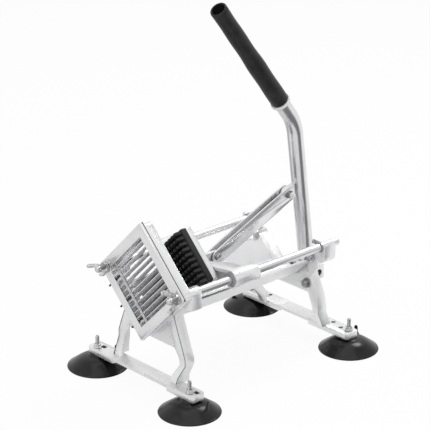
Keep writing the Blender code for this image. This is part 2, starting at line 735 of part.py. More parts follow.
def clamp_screw(side, room=0):
    """The screw that holds a rod in its rear boss. Both enter their bosses from the far side."""
    centre_x = SIDES[side] * ROD_X
    proud = NEAR_SET_SCREW_PROUD if side == "near" else FAR_SET_SCREW_PROUD
    line = (SET_SCREW_Y, CENTRE_Z + SET_SCREW_RISE)
    inner = (centre_x - ROD_RADIUS - GAP + room * 2, *line)
    outer = (centre_x - REAR_BOSS_RADIUS - proud - room, *line)
    return round_bar(inner, outer, SET_SCREW_RADIUS + room, sides=SMALL_SIDES)


def make_guide_rods():
    """Polished rods with a chamfered rear end and a threaded front end."""
    for side, sign in SIDES.items():
        shoulder_y = ROD_SHOULDER_Y
        profile = [
            (0, 0),
            (0, ROD_STUD_RADIUS - ROD_CHAMFER),
            (ROD_CHAMFER, ROD_STUD_RADIUS),
            (shoulder_y - ROD_STUD_FRONT_Y, ROD_STUD_RADIUS),
            (shoulder_y - ROD_STUD_FRONT_Y, ROD_RADIUS),
            (REAR_ROD_BACK_Y - ROD_CHAMFER - ROD_STUD_FRONT_Y, ROD_RADIUS),
            (REAR_ROD_BACK_Y - ROD_STUD_FRONT_Y, ROD_RADIUS - ROD_CHAMFER),
            (REAR_ROD_BACK_Y - ROD_STUD_FRONT_Y, 0),
        ]
        rod = turned(profile, Vector((sign * ROD_X, ROD_STUD_FRONT_Y, CENTRE_Z)), (0, 1, 0))
        finish(f"guide_rod_{side}", rod, STEEL)
        finish(f"rod_clamp_screw_{side}", clamp_screw(side), DARK)


def make_feet():
    """Suction cups with their studs and flange nuts."""
    places = [(FOOT_FRONT_X, -FOOT_Y, "front"), (FOOT_REAR_X, FOOT_Y, "rear")]
    for x, y, end in places:
        for side, sign in SIDES.items():
            centre = Vector((sign * x, y, 0))
            profile = [
                (CUP_RECESS, 0),
                (CUP_RECESS, CUP_RADIUS - CUP_RIM * 3),
                (0, CUP_RADIUS - CUP_RIM * 2),
                (0, CUP_RADIUS - CUP_RIM * HALF),
                (CUP_RIM * HALF, CUP_RADIUS),
                (CUP_RIM, CUP_RADIUS - CUP_RIM * HALF),
            ]
            for step in range(1, CUP_DOME_STEPS):
                share = step / CUP_DOME_STEPS
                radius = CUP_RADIUS - (CUP_RADIUS - CUP_NECK_RADIUS) * share
                rise = (CUP_HEIGHT - CUP_RIM * 2) * math.sin(share * math.pi * HALF)
                profile.append((CUP_RIM + rise, radius))
            profile += [(CUP_HEIGHT - CUP_RIM, CUP_NECK_RADIUS), (CUP_HEIGHT, CUP_NECK_RADIUS - CUP_RIM),
                        (CUP_HEIGHT, 0)]
            cup = turned(profile, centre, (0, 0, 1), CUP_FACETS)
            socket = round_bar(
                centre + Vector((0, 0, CUP_HEIGHT * HALF - GAP)), centre + Vector((0, 0, CUP_HEIGHT + OVERRUN)),
                STUD_RADIUS + GAP, sides=SMALL_SIDES,
            )
            finish(f"suction_cup_{end}_{side}", combined(cup, (), [socket]), RUBBER, centre)
            low = centre + Vector((0, 0, CUP_HEIGHT * HALF))
            stud = round_bar(low, centre + Vector((0, 0, STUD_TOP_Z)), STUD_RADIUS, sides=SMALL_SIDES)
            finish(f"foot_stud_{end}_{side}", stud, ZINC, centre)
            seat = centre + Vector((0, 0, PAD_TOP_Z + GAP))
            flange_top = seat + Vector((0, 0, FOOT_WASHER_THICKNESS))
            flange = round_bar(seat, flange_top, FOOT_WASHER_RADIUS)
            nut = hexagon(flange_top - Vector((0, 0, OVERLAP)), flange_top + Vector((0, 0, FOOT_NUT_HEIGHT)),
                          FOOT_NUT_FLATS)
            hole = round_bar(centre, centre + Vector((0, 0, STUD_TOP_Z)), STUD_RADIUS + GAP, sides=SMALL_SIDES)
            finish(f"foot_nut_{end}_{side}", combined(flange, [nut], [hole]), ZINC, centre)


def washer(base, axis, start, radius, thickness, bore):
    """A flat ring that starts at a distance along an axis from the base point."""
    axis = Vector(axis)
    low, high = base + axis * start, base + axis * (start + thickness)
    disc = round_bar(low, high, radius)
    hole = round_bar(low - axis * OVERRUN, high + axis * OVERRUN, bore, sides=SMALL_SIDES)
    return combined(disc, (), [hole])


def make_blade_frame():
    """Square frame that carries the blades, with a nested body in the casting's ring."""
    plate_back = FRAME_FRONT_Y + FRAME_PLATE
    front = plate([diamond(FRAME_SIDE, FRAME_CORNER)], "Y", FRAME_FRONT_Y, plate_back)
    land_outline = diamond(FRAME_SIDE - FRAME_LAND_INSET * 2, FRAME_CORNER)
    land = plate([land_outline], "Y", plate_back - OVERLAP, RING_FRONT_Y - GAP)
    body = plate([diamond(FRAME_BODY_SIDE, FRAME_CORNER)], "Y", plate_back, FRAME_BODY_BACK_Y)
    window = plate([diamond(FRAME_WINDOW)], "Y", FRAME_FRONT_Y - OVERRUN, FRAME_BODY_BACK_Y + OVERRUN)
    hole = round_bar(
        (ROD_X, FRAME_FRONT_Y - OVERRUN, CENTRE_Z), (ROD_X, ROD_SHOULDER_Y, CENTRE_Z), ROD_STUD_RADIUS + GAP
    )
    slots = [blade_solid(index, GAP) for index in blade_indexes()]
    screws = [tension_screw(index, GAP) for index in TENSION_SCREW_PITCHES]
    cuts = [window, *both_sides([hole]), *slots, *screws]
    finish("blade_frame", combined(front, [land, body], cuts), CAST)


def blade_indexes():
    """Indexes of the blades, centred on zero."""
    return [index - (BLADE_COUNT - 1) * HALF for index in range(BLADE_COUNT)]


def blade_solid(index, room=0):
    """One blade, or its slot when there is room round it. The cutting edge faces the pusher."""
    upper = FRAME_WINDOW * HALF + BLADE_SEAT
    lower = -FRAME_WINDOW * HALF - BLADE_SEAT
    middle = CENTRE + PITCH_AXIS * index * BLADE_PITCH
    half = BLADE_THICKNESS * HALF + room
    front_y, back_y = BLADE_BACK_Y - BLADE_DEPTH - room, BLADE_BACK_Y + room
    edge_y = back_y - BLADE_EDGE
    sections = []
    for along in (lower - room, upper + room):
        base = middle + BLADE_AXIS * along
        across = PITCH_AXIS * half
        tip = PITCH_AXIS * (half - BLADE_THICKNESS * HALF * HALF)
        sections.append([
            base - across + Vector((0, front_y, 0)),
            base + across + Vector((0, front_y, 0)),
            base + across + Vector((0, edge_y, 0)),
            base + tip + Vector((0, back_y, 0)),
            base - tip + Vector((0, back_y, 0)),
            base - across + Vector((0, edge_y, 0)),
        ])
    return loft(sections)


def tension_screw(index, room=0):
    """A screw through the lower-left side of the blade frame, which pulls the tension bar."""
    depth_y = FRAME_FRONT_Y + FRAME_PLATE * HALF
    middle = CENTRE + PITCH_AXIS * index * BLADE_PITCH + Vector((0, depth_y, 0))
    bar_face = -FRAME_WINDOW * HALF + TENSION_BAR_OFFSET
    inner = middle + BLADE_AXIS * (bar_face - GAP + room)
    outer = middle - BLADE_AXIS * (FRAME_SIDE * HALF + TENSION_SCREW_PROUD + room)
    return round_bar(inner, outer, TENSION_SCREW_RADIUS + room, sides=SMALL_SIDES)


def make_blades():
    """Blades, the tension bar that crosses in front of them, and its screws."""
    for number, index in enumerate(blade_indexes(), 1):
        finish(f"blade_{number:02d}", blade_solid(index), BLADE_STEEL)
    inner = -FRAME_WINDOW * HALF + TENSION_BAR_OFFSET
    half_length = FRAME_WINDOW * HALF - GAP
    outer = inner + TENSION_BAR_WIDTH
    corners = []
    for along, across in ((inner, -1), (outer, -1), (outer, 1), (inner, 1)):
        point = CENTRE + BLADE_AXIS * along + PITCH_AXIS * across * half_length
        corners.append((point.x, point.z))
    bar = plate([corners], "Y", TENSION_BAR_FRONT_Y, TENSION_BAR_FRONT_Y + TENSION_BAR_THICKNESS)
    finish("blade_tension_bar", bar, ZINC)
    for number, index in enumerate(TENSION_SCREW_PITCHES, 1):
        finish(f"tension_screw_{number}", tension_screw(index), DARK)


def make_wing_nuts():
    """Wing nuts and washers that clamp the blade frame on the rods' threaded ends."""
    turns = {"near": NEAR_WING_TURN, "far": FAR_WING_TURN}
    for side, sign in SIDES.items():
        base = Vector((sign * ROD_X, FRAME_FRONT_Y - GAP, CENTRE_Z))
        ring = washer(base, (0, -1, 0), 0, WING_WASHER_RADIUS, WING_WASHER_THICKNESS, ROD_STUD_RADIUS + GAP)
        finish(f"wing_nut_washer_{side}", ring, ZINC, base)
        start = base - Vector((0, WING_WASHER_THICKNESS + GAP, 0))
        tip = start - Vector((0, WING_HUB_LENGTH, 0))
        hub = round_bar(start, tip, WING_HUB_BASE_RADIUS, WING_HUB_TIP_RADIUS)
        wings = []
        for turn in (turns[side], turns[side] + math.pi):
            out = Vector((math.cos(turn), 0, math.sin(turn)))
            across = Vector((-math.sin(turn), 0, math.cos(turn)))
            root = start + out * WING_HUB_TIP_RADIUS * HALF - Vector((0, WING_HUB_LENGTH * HALF, 0))
            end = start + out * WING_SPAN - Vector((0, WING_HUB_LENGTH * HALF + WING_LIFT, 0))
            wings.append(wing(root, end, across))
        bore = round_bar(start + Vector((0, OVERRUN, 0)), tip - Vector((0, OVERRUN, 0)), ROD_STUD_RADIUS + GAP)
        finish(f"wing_nut_{side}", combined(hub, wings, [bore]), ZINC, start)


def wing(root, end, across):
    """One rounded wing from its root in the hub to its tip."""
    along = (end - root).normalized()
    width = across.cross(along)
    thick = across * WING_THICKNESS * HALF
    sections = []
    for reach_share, width_share in WING_SHARES:
        spot = root.lerp(end, reach_share)
        half = width * WING_WIDTH * width_share
        sections.append([spot - half - thick, spot + half - thick, spot + half + thick, spot - half + thick])
    return loft(sections)


def make_pusher_block():
    """Black block of square pegs that pass between the blades and stop short of the tension bar."""
    base = plate([diamond(PUSHER_SIDE, FRAME_CORNER)], "Y", PUSHER_FRONT_Y, PUSHER_BACK_Y)
    pegs = []
    offsets = [(index - (PEG_COUNT - 1) * HALF) * BLADE_PITCH for index in range(PEG_COUNT)]
    for across in offsets:
        for along in offsets:
            spot = CENTRE + PITCH_AXIS * across + BLADE_AXIS * along
            ends = ((PUSHER_FRONT_Y + OVERLAP, PEG_WIDTH), (PUSHER_FRONT_Y - PEG_LENGTH, PEG_TIP_WIDTH))
            sections = []
            for y, width in ends:
                a, b = PITCH_AXIS * width * HALF, BLADE_AXIS * width * HALF
                at = spot + Vector((0, y, 0))
                sections.append([at - a - b, at + a - b, at + a + b, at - a + b])
            pegs.append(loft(sections))
    heads = [pusher_screw(place, GAP) for place in screw_places()]
    finish("pusher_block", combined(base, [gathered(pegs)], heads), BLACK_PLASTIC)


def screw_places():
    """Where the two screws hold the pusher block to the carriage plate."""
    return [CENTRE + Vector((0, 0, sign * PUSHER_SCREW_SPREAD)) for sign in (-1, 1)]


def pusher_screw(place, room=0):
    """One screw from the carriage plate's back into the pusher block."""
    back = place + Vector((0, CARRIAGE_PLATE_BACK_Y + GAP, 0))
    tip = place + Vector((0, PUSHER_FRONT_Y + PUSHER_SCREW_HEAD - room, 0))
    shank = round_bar(tip, back + Vector((0, OVERLAP, 0)), PUSHER_SCREW_RADIUS * HALF + room, sides=SMALL_SIDES)
    if room:
        return shank
    head = round_bar(back, back + Vector((0, PUSHER_SCREW_HEAD, 0)), PUSHER_SCREW_RADIUS, sides=SMALL_SIDES)
    return combined(shank, [head])


def make_carriage():
    """Pusher carriage: plate, two arms that end in sleeves round the rods, and a clevis lug."""
    front_y = PUSHER_BACK_Y + GAP
    base = plate([diamond(PUSHER_SIDE, FRAME_CORNER)], "Y", front_y, CARRIAGE_PLATE_BACK_Y)
    sleeve = round_bar((ROD_X, SLEEVE_FRONT_Y, CENTRE_Z), (ROD_X, SLEEVE_BACK_Y, CENTRE_Z), SLEEVE_RADIUS)
    middle_x = ROD_X - SLEEVE_RADIUS * HALF
    top = plate([[
        (ARM_PLATE_X, CARRIAGE_PLATE_BACK_Y - OVERLAP),
        (PUSHER_SIDE * HALF, CARRIAGE_PLATE_BACK_Y - OVERLAP),
        (middle_x, SLEEVE_FRONT_Y),
        (ROD_X, SLEEVE_FRONT_Y),
        (ROD_X, ARM_BACK_Y),
        (middle_x - SLEEVE_RADIUS, ARM_BACK_Y),
        (ARM_PLATE_X, CARRIAGE_PLATE_BACK_Y + ARM_WALL * 2),
    ]], "Z", ARM_TOP_Z - ARM_WALL, ARM_TOP_Z)
    low_z = CENTRE_Z * 2 - ARM_TOP_Z
    web = plate([[
        (ARM_PLATE_X, CARRIAGE_PLATE_BACK_Y - OVERLAP),
        (ARM_PLATE_X + ARM_WALL, CARRIAGE_PLATE_BACK_Y - OVERLAP),
        (ARM_PLATE_X + ARM_WALL * 2, CARRIAGE_PLATE_BACK_Y + ARM_WALL),
        (ROD_X - SLEEVE_BORE, ARM_BACK_Y - ARM_WALL),
        (ROD_X - SLEEVE_BORE, ARM_BACK_Y),
        (middle_x - SLEEVE_RADIUS, ARM_BACK_Y),
        (ARM_PLATE_X, CARRIAGE_PLATE_BACK_Y + ARM_WALL * 2),
    ]], "Z", low_z, ARM_TOP_Z - OVERLAP)
    lug_outline = [
        (CARRIAGE_PLATE_BACK_Y - OVERLAP, FRONT_PIN_Z - LUG_BASE_HEIGHT * HALF),
        (CARRIAGE_PLATE_BACK_Y + LUG_RADIUS, FRONT_PIN_Z - LUG_RADIUS),
        *arc((FRONT_PIN_Y, FRONT_PIN_Z), LUG_RADIUS, -90, 90, ROUND_SIDES // 2),
        (CARRIAGE_PLATE_BACK_Y + LUG_RADIUS, FRONT_PIN_Z + LUG_RADIUS),
        (CARRIAGE_PLATE_BACK_Y - OVERLAP, FRONT_PIN_Z + LUG_BASE_HEIGHT * HALF),
    ]
    pin_hole = circle((FRONT_PIN_Y, FRONT_PIN_Z), LINK_PIN_RADIUS + GAP, SMALL_SIDES)
    lug = plate([lug_outline, pin_hole], "X", -LUG_HALF_WIDTH, LUG_HALF_WIDTH)
    bore = round_bar(
        (ROD_X, SLEEVE_FRONT_Y - OVERRUN, CENTRE_Z), (ROD_X, SLEEVE_BACK_Y + OVERRUN, CENTRE_Z), SLEEVE_BORE
    )
    holes = [pusher_screw(place, GAP) for place in screw_places()]
    body = combined(base, [lug, *both_sides([sleeve, top, web])], [*both_sides([bore]), *holes])
    finish("pusher_carriage", body, CAST, (0, FRONT_PIN_Y, FRONT_PIN_Z))
    for end, place in zip(("low", "high"), screw_places()):
        finish(f"pusher_screw_{end}", pusher_screw(place), DARK)
    for side, sign in SIDES.items():
        axis_point = Vector((sign * ROD_X, 0, CENTRE_Z))
        bush = round_bar(
            axis_point + Vector((0, SLEEVE_FRONT_Y - BUSH_PROUD, 0)),
            axis_point + Vector((0, SLEEVE_BACK_Y + BUSH_PROUD, 0)),
            BUSH_RADIUS,
        )
        hole = round_bar(
            axis_point + Vector((0, SLEEVE_FRONT_Y - OVERRUN, 0)),
            axis_point + Vector((0, SLEEVE_BACK_Y + OVERRUN, 0)),
            ROD_RADIUS + GAP,
        )
        finish(f"sleeve_bush_{side}", combined(bush, (), [hole]), BLACK_PLASTIC)


def make_link():
    """Channel-section link with two ears at each end."""
    front = Vector((FRONT_PIN_Y, FRONT_PIN_Z))
    rear = Vector((REAR_PIN_Y, REAR_PIN_Z))
    along = (rear - front).normalized()
    up = Vector((-along.y, along.x))
    slope = math.degrees(math.atan2(along.y, along.x))
    low, high = -LINK_HALF_HEIGHT, LINK_HALF_HEIGHT
    outline = [
        *arc(front, LINK_END_RADIUS, slope + 90, slope + 270, ROUND_SIDES // 2),
        tuple(front + along * LINK_TAPER + up * low),
        tuple(rear - along * LINK_TAPER + up * low),
        *arc(rear, LINK_END_RADIUS, slope - 90, slope + 90, ROUND_SIDES // 2),
        tuple(rear - along * LINK_TAPER + up * high),
        tuple(front + along * LINK_TAPER + up * high),
    ]
    body = plate([outline], "X", -LINK_HALF_WIDTH, LINK_HALF_WIDTH)
    inner = LINK_HALF_WIDTH - LINK_WALL
    length = (rear - front).length
    reach = LINK_END_RADIUS + OVERRUN
    floor, under, over = low + LINK_WALL, low - OVERRUN, high + OVERRUN
    trench_outline = [
        (-reach, under), (LINK_BOTTOM_CUT, under), (LINK_BOTTOM_CUT, floor),
        (length - LINK_BOTTOM_CUT, floor), (length - LINK_BOTTOM_CUT, under), (length + reach, under),
        (length + reach, over), (-reach, over),
    ]
    trench = plate([[tuple(front + along * u + up * v) for u, v in trench_outline]], "X", -inner, inner)
    cuts = [trench]
    for pin in (front, rear):
        cuts.append(round_bar(
            (-LINK_HALF_WIDTH - OVERRUN, *pin), (LINK_HALF_WIDTH + OVERRUN, *pin), LINK_PIN_RADIUS + GAP,
            sides=SMALL_SIDES,
        ))
    finish("link_channel", combined(body, (), cuts), CHROME, (0, REAR_PIN_Y, REAR_PIN_Z))


def make_link_bolts():
    """Bolts at both ends of the link. The carriage's own hole leaves the front bolt free to turn."""
    outer = LINK_HALF_WIDTH + GAP
    inner = LUG_HALF_WIDTH + GAP
    reach = outer + PIN_HEAD_HEIGHT
    for side, sign in SIDES.items():
        shank = round_bar(
            (sign * inner, FRONT_PIN_Y, FRONT_PIN_Z), (sign * (outer + OVERLAP), FRONT_PIN_Y, FRONT_PIN_Z),
            LINK_PIN_RADIUS, sides=SMALL_SIDES,
        )
        head = round_bar(
            (sign * outer, FRONT_PIN_Y, FRONT_PIN_Z), (sign * reach, FRONT_PIN_Y, FRONT_PIN_Z), PIN_HEAD_RADIUS,
            sides=ROUND_SIDES if sign < 0 else HEX_SIDES,
        )
        finish(f"link_front_bolt_{side}", combined(shank, [head]), ZINC, (0, FRONT_PIN_Y, FRONT_PIN_Z))
    shank = round_bar((-reach, REAR_PIN_Y, REAR_PIN_Z), (reach, REAR_PIN_Y, REAR_PIN_Z), LINK_PIN_RADIUS,
                      sides=SMALL_SIDES)
    head = round_bar((outer, REAR_PIN_Y, REAR_PIN_Z), (reach, REAR_PIN_Y, REAR_PIN_Z), PIN_HEAD_RADIUS)
    finish("link_rear_bolt", combined(shank, [head]), DARK, (0, REAR_PIN_Y, REAR_PIN_Z))
    nut = hexagon((-outer, REAR_PIN_Y, REAR_PIN_Z), (-reach + GAP, REAR_PIN_Y, REAR_PIN_Z), PIN_HEAD_RADIUS * 2)
    hole = round_bar(
        (-reach - OVERRUN, REAR_PIN_Y, REAR_PIN_Z), (0, REAR_PIN_Y, REAR_PIN_Z), LINK_PIN_RADIUS + GAP,
        sides=SMALL_SIDES,
    )
    finish("link_rear_nut", combined(nut, (), [hole]), ZINC, (0, REAR_PIN_Y, REAR_PIN_Z))


def lever_points():
    """Centre line of the lever in Y and Z: straight, a bend, and straight again to the grip's open end."""
    pivot, bend, end = Vector((PIVOT_Y, PIVOT_Z)), Vector((BEND_Y, BEND_Z)), Vector((GRIP_END_Y, GRIP_END_Z))
    before, after = (pivot - bend).normalized(), (end - bend).normalized()
    half_angle = before.angle(after) * HALF
    centre = bend + (before + after).normalized() * BEND_RADIUS / math.sin(half_angle)
    start = bend + before * BEND_RADIUS / math.tan(half_angle) - centre
    turn = math.pi - before.angle(after)
    turn = -turn if before.cross(after) > 0 else turn
    bent = [centre + Matrix.Rotation(turn * step / BEND_STEPS, 2) @ start for step in range(BEND_STEPS + 1)]
    return [pivot, *bent], end, after


def make_lever():
    """Bent tube with its cross barrel, the lug for the link, and the collar and grip on its upper end."""
    points, end, along = lever_points()
    grip_start = points[-1] + along * GRIP_FOOT
    tube_end = end - along * (GRIP_MOUTH_DEPTH + GRIP_WALL)
    spine = (points[1] - points[0]).normalized()
    stations = [points[0] + spine * TUBE_FOOT, *points[1:], tube_end]
    directions = []
    for index in range(len(stations)):
        before, after = stations[max(index - 1, 0)], stations[min(index + 1, len(stations) - 1)]
        directions.append((after - before).normalized())
    sections = []
    for spot, way in zip(stations, directions):
        side = Vector((0, -way.y, way.x))
        ring = []
        for step in range(ROUND_SIDES):
            angle = math.tau * (step + HALF) / ROUND_SIDES
            offset = Vector((1, 0, 0)) * math.cos(angle) + side * math.sin(angle)
            ring.append(Vector((0, spot.x, spot.y)) + offset * TUBE_RADIUS)
        sections.append(ring)
    tube = loft(sections)
    barrel_x = BRACKET_LUG_INNER_X - GAP
    barrel = round_bar((-barrel_x, PIVOT_Y, PIVOT_Z), (barrel_x, PIVOT_Y, PIVOT_Z), BARREL_RADIUS)
    pin = Vector((REAR_PIN_Y, REAR_PIN_Z))
    foot = points[0] + spine * (pin - points[0]).dot(spine)
    half = spine * LEVER_LUG_HEIGHT * HALF
    out = (pin - foot).normalized()
    lug_outline = [
        tuple(foot - half),
        tuple(foot - half + out * TUBE_RADIUS),
        *[tuple(pin + Matrix.Rotation(math.pi * step / SMALL_SIDES, 2) @ (spine * LEVER_LUG_RADIUS))
          for step in range(SMALL_SIDES, -1, -1)],
        tuple(foot + half + out * TUBE_RADIUS),
        tuple(foot + half),
    ]
    pin_hole = circle(pin, LINK_PIN_RADIUS + GAP, SMALL_SIDES)
    lug = plate([lug_outline, pin_hole], "X", -LEVER_LUG_HALF_WIDTH, LEVER_LUG_HALF_WIDTH)
    bore_x = barrel_x + OVERRUN
    bore = round_bar((-bore_x, PIVOT_Y, PIVOT_Z), (bore_x, PIVOT_Y, PIVOT_Z), BARREL_BORE)
    pivot = (0, PIVOT_Y, PIVOT_Z)
    finish("lever_tube", combined(tube, [barrel, lug], [bore]), CHROME, pivot)
    make_grip(grip_start, end, along, pivot)


def make_grip(start, end, along, pivot):
    """Sleeve grip with an open mouth, and the pale collar at its lower end."""
    length = (end - start).length
    inner = TUBE_RADIUS + GAP
    profile = [(length - GRIP_MOUTH_DEPTH, 0), (length - GRIP_MOUTH_DEPTH, GRIP_RADIUS - GRIP_WALL * 2),
               (length, GRIP_RADIUS - GRIP_WALL * 2)]
    for step in range(GRIP_STEPS + 1):
        share = step / GRIP_STEPS
        radius = GRIP_RADIUS - GRIP_WAIST * math.sin(math.pi * share)
        profile.append((length * (1 - share), radius))
    profile += [(0, inner), (length - GRIP_MOUTH_DEPTH - GRIP_WALL + GAP, inner),
                (length - GRIP_MOUTH_DEPTH - GRIP_WALL + GAP, 0)]
    axis = Vector((0, along.x, along.y))
    base = Vector((0, start.x, start.y))
    finish("hand_grip", turned(profile, base, axis), RUBBER, pivot)
    ring = turned(
        [(0, inner), (0, COLLAR_RADIUS), (COLLAR_LENGTH, COLLAR_RADIUS), (COLLAR_LENGTH, inner), (0, inner)],
        base - axis * (COLLAR_LENGTH + GAP), axis,
    )
    finish("grip_collar", ring, ZINC, pivot)


def make_pivot():
    """Bracket behind the rear web, with the lever's pivot pin through its two lugs."""
    base_y = REAR_WEB_Y + WEB_THICKNESS + GAP
    near_half = [
        (LEG_SHOULDER_X, BRACKET_LOW_Z),
        (LEG_SHOULDER_X, BRACKET_MIDDLE_TOP_Z),
        (BRACKET_EAR_OUTER_X, BRACKET_EAR_TOP_Z),
        (BRACKET_EAR_INNER_X, BRACKET_EAR_TOP_Z),
        (BRACKET_LUG_INNER_X + BRACKET_LUG_WALL, BRACKET_MIDDLE_TOP_Z),
    ]
    outline = near_half + [(-x, z) for x, z in reversed(near_half)]
    base = plate([outline], "Y", base_y, base_y + BRACKET_BASE)
    outline = rounded([
        (base_y + OVERLAP, BRACKET_LOW_Z + CASTING_STEP), (BRACKET_BACK_Y, BRACKET_LOW_Z + CASTING_STEP),
        (BRACKET_BACK_Y, BRACKET_TOP_Z), (BRACKET_RISE_Y, BRACKET_TOP_Z),
        (BRACKET_RISE_Y - OVERLAP, BRACKET_ROOT_TOP_Z), (base_y + OVERLAP, BRACKET_ROOT_TOP_Z)],
        BRACKET_CORNER * HALF * HALF)
    hole = circle((PIVOT_Y, PIVOT_Z), PIVOT_PIN_RADIUS + GAP, SMALL_SIDES)
    lug = plate([outline, hole], "X", BRACKET_LUG_INNER_X, BRACKET_LUG_INNER_X + BRACKET_LUG_WALL)
    bolt = bolt_hole(BRACKET_BOLT_X, BRACKET_BOLT_Z, base_y - OVERRUN, base_y + BRACKET_BASE)
    finish("pivot_bracket", combined(base, both_sides([lug]), both_sides([bolt])), CAST)
    reach = BRACKET_LUG_INNER_X + BRACKET_LUG_WALL - PIVOT_RECESS
    pin = round_bar((-reach, PIVOT_Y, PIVOT_Z), (reach, PIVOT_Y, PIVOT_Z), PIVOT_PIN_RADIUS - GAP)
    finish("lever_pivot_pin", pin, DARK)


def frame_bolts(name, x, z, clamp_low, clamp_high):
    """A pair of flanged bolts along Y, which clamp the castings between two planes."""
    for side, sign in SIDES.items():
        seat = Vector((sign * x, clamp_low - GAP, z))
        flange_y = seat.y - BOLT_WASHER_THICKNESS
        shank = round_bar((seat.x, flange_y, z), (seat.x, clamp_high - GAP, z), BOLT_RADIUS, sides=SMALL_SIDES)
        flange = round_bar(seat, (seat.x, flange_y, z), BOLT_WASHER_RADIUS)
        head = hexagon(
            (seat.x, flange_y + OVERLAP, z), (seat.x, flange_y - BOLT_HEAD_HEIGHT, z), BOLT_HEAD_FLATS
        )
        finish(f"{name}_bolt_{side}", combined(shank, [flange, head]), DARK, seat)


def main():
    """Builds every part of the slicer."""
    make_front_frame()
    make_feed_trough()
    make_rear_frame()
    make_guide_rods()
    make_feet()
    make_blade_frame()
    make_blades()
    make_wing_nuts()
    make_pusher_block()
    make_carriage()
    make_link()
    make_link_bolts()
    make_lever()
    make_pivot()
    web_back = REAR_WEB_Y + WEB_THICKNESS
    frame_bolts("bracket", BRACKET_BOLT_X, BRACKET_BOLT_Z, REAR_WEB_Y, web_back + GAP + BRACKET_BASE)
    frame_bolts("trough", RAIL_BOLT_X, RAIL_BOLT_Z, TROUGH_BACK_Y - TROUGH_TAB_THICKNESS, web_back)
    bpy.data.collections.remove(TOOLS)


main()
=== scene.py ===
"""Looks of the manual vegetable slicer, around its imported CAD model.

+Z is up, in the frame of the CAD. The blade frame faces -Y. +X is the side nearest the camera, called near.
The parts of the machine that this script adds are written in millimetres, and add_rings turns them to metres.
"""

import math

import bmesh
import bpy
from mathutils import Matrix, Vector


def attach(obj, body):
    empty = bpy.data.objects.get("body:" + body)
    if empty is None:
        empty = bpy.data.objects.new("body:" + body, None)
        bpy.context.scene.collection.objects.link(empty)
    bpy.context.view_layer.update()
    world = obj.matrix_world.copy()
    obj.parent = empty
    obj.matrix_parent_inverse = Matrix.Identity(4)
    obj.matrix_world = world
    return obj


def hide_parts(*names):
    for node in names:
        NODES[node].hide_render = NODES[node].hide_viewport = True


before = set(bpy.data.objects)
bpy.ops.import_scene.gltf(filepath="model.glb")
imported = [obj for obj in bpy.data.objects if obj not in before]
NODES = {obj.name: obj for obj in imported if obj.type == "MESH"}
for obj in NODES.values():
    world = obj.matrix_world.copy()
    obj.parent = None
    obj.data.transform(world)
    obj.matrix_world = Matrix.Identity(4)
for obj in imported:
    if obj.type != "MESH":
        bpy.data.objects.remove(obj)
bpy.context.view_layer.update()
SCENE = bpy.context.scene

MM = 0.001
HALF = 0.5
HALF_TURN_DEGREES = 180
WHOLE = (0, 1)
WHITE = (1, 1, 1, 1)
SMOOTH_ANGLE = math.radians(38)

# Directions, and how much of X a direction has when it counts as running along it
TO_NEAR = Vector((1, 0, 0))
TO_FRONT = Vector((0, -1, 0))
TO_REAR = Vector((0, 1, 0))
UP = Vector((0, 0, 1))
NEARLY_ALONG = 0.9

# The two sides, with the sign of X on each
SIDES = (("near", 1), ("far", -1))

# The blade frame and the pusher block are squares on one corner, so these two run along their edges
EDGE_DOWN = Vector((1, 0, -1)).normalized()
EDGE_UP = Vector((1, 0, 1)).normalized()
CORNERS = ((1, 1), (-1, 1), (-1, -1), (1, -1))

# Height of the guide rods and of the middle of the blades, and the spacing of blades and pegs
AXIS_Z = 143.6
MIDDLE = Vector((0, 0, AXIS_Z))
BLADE_PITCH = 7.5

# Camera of the photograph, in degrees, metres and millimetres of lens
CAMERA_AZIMUTH = 47.7
CAMERA_ELEVATION = 21.5
CAMERA_DISTANCE = 2.5337
CAMERA_TARGET = Vector((-0.0163, 0, 0.1910))
CAMERA_LENS = 168.5
CAMERA_SENSOR = 36
CAMERA_CLIP_NEAR = 0.1
CAMERA_CLIP_FAR = 20


def vector_of(azimuth, elevation):
    """The unit vector towards an azimuth and an elevation in degrees, azimuth 0 being the front."""
    turn, rise = math.radians(azimuth), math.radians(elevation)
    return Vector((math.sin(turn) * math.cos(rise), -math.cos(turn) * math.cos(rise), math.sin(rise)))


def aim(thing, target, azimuth, elevation, distance):
    """Puts a camera or a lamp at a distance from a target and turns it there."""
    SCENE.collection.objects.link(thing)
    back = vector_of(azimuth, elevation)
    thing.location = target + back * distance
    thing.rotation_euler = back.to_track_quat("Z", "Y").to_euler()


def make_camera():
    """The photograph's camera."""
    data = bpy.data.cameras.new("photo_camera")
    data.lens = CAMERA_LENS
    data.sensor_width = CAMERA_SENSOR
    data.clip_start = CAMERA_CLIP_NEAR
    data.clip_end = CAMERA_CLIP_FAR
    camera = bpy.data.objects.new("photo_camera", data)
    aim(camera, CAMERA_TARGET, CAMERA_AZIMUTH, CAMERA_ELEVATION, CAMERA_DISTANCE)
    SCENE.camera = camera


# Sockets of Blender's Mix node for two colours
MIX_SHARE = 0
MIX_FIRST = 6
MIX_SECOND = 7
MIX_RESULT = 2

# Painted shade in hollows: the open share of the sky over a point, and how deep the painted shade is there
HOLLOW_SAMPLES = 12
HOLLOW_OPEN = (0.12, 0.58)
HOLLOW_DEPTH = (0.92, 0)
HOLLOW_BURIED = (0.01, 0.07)
HOLLOW_SHADE = (0.16, 0.16, 0.16)


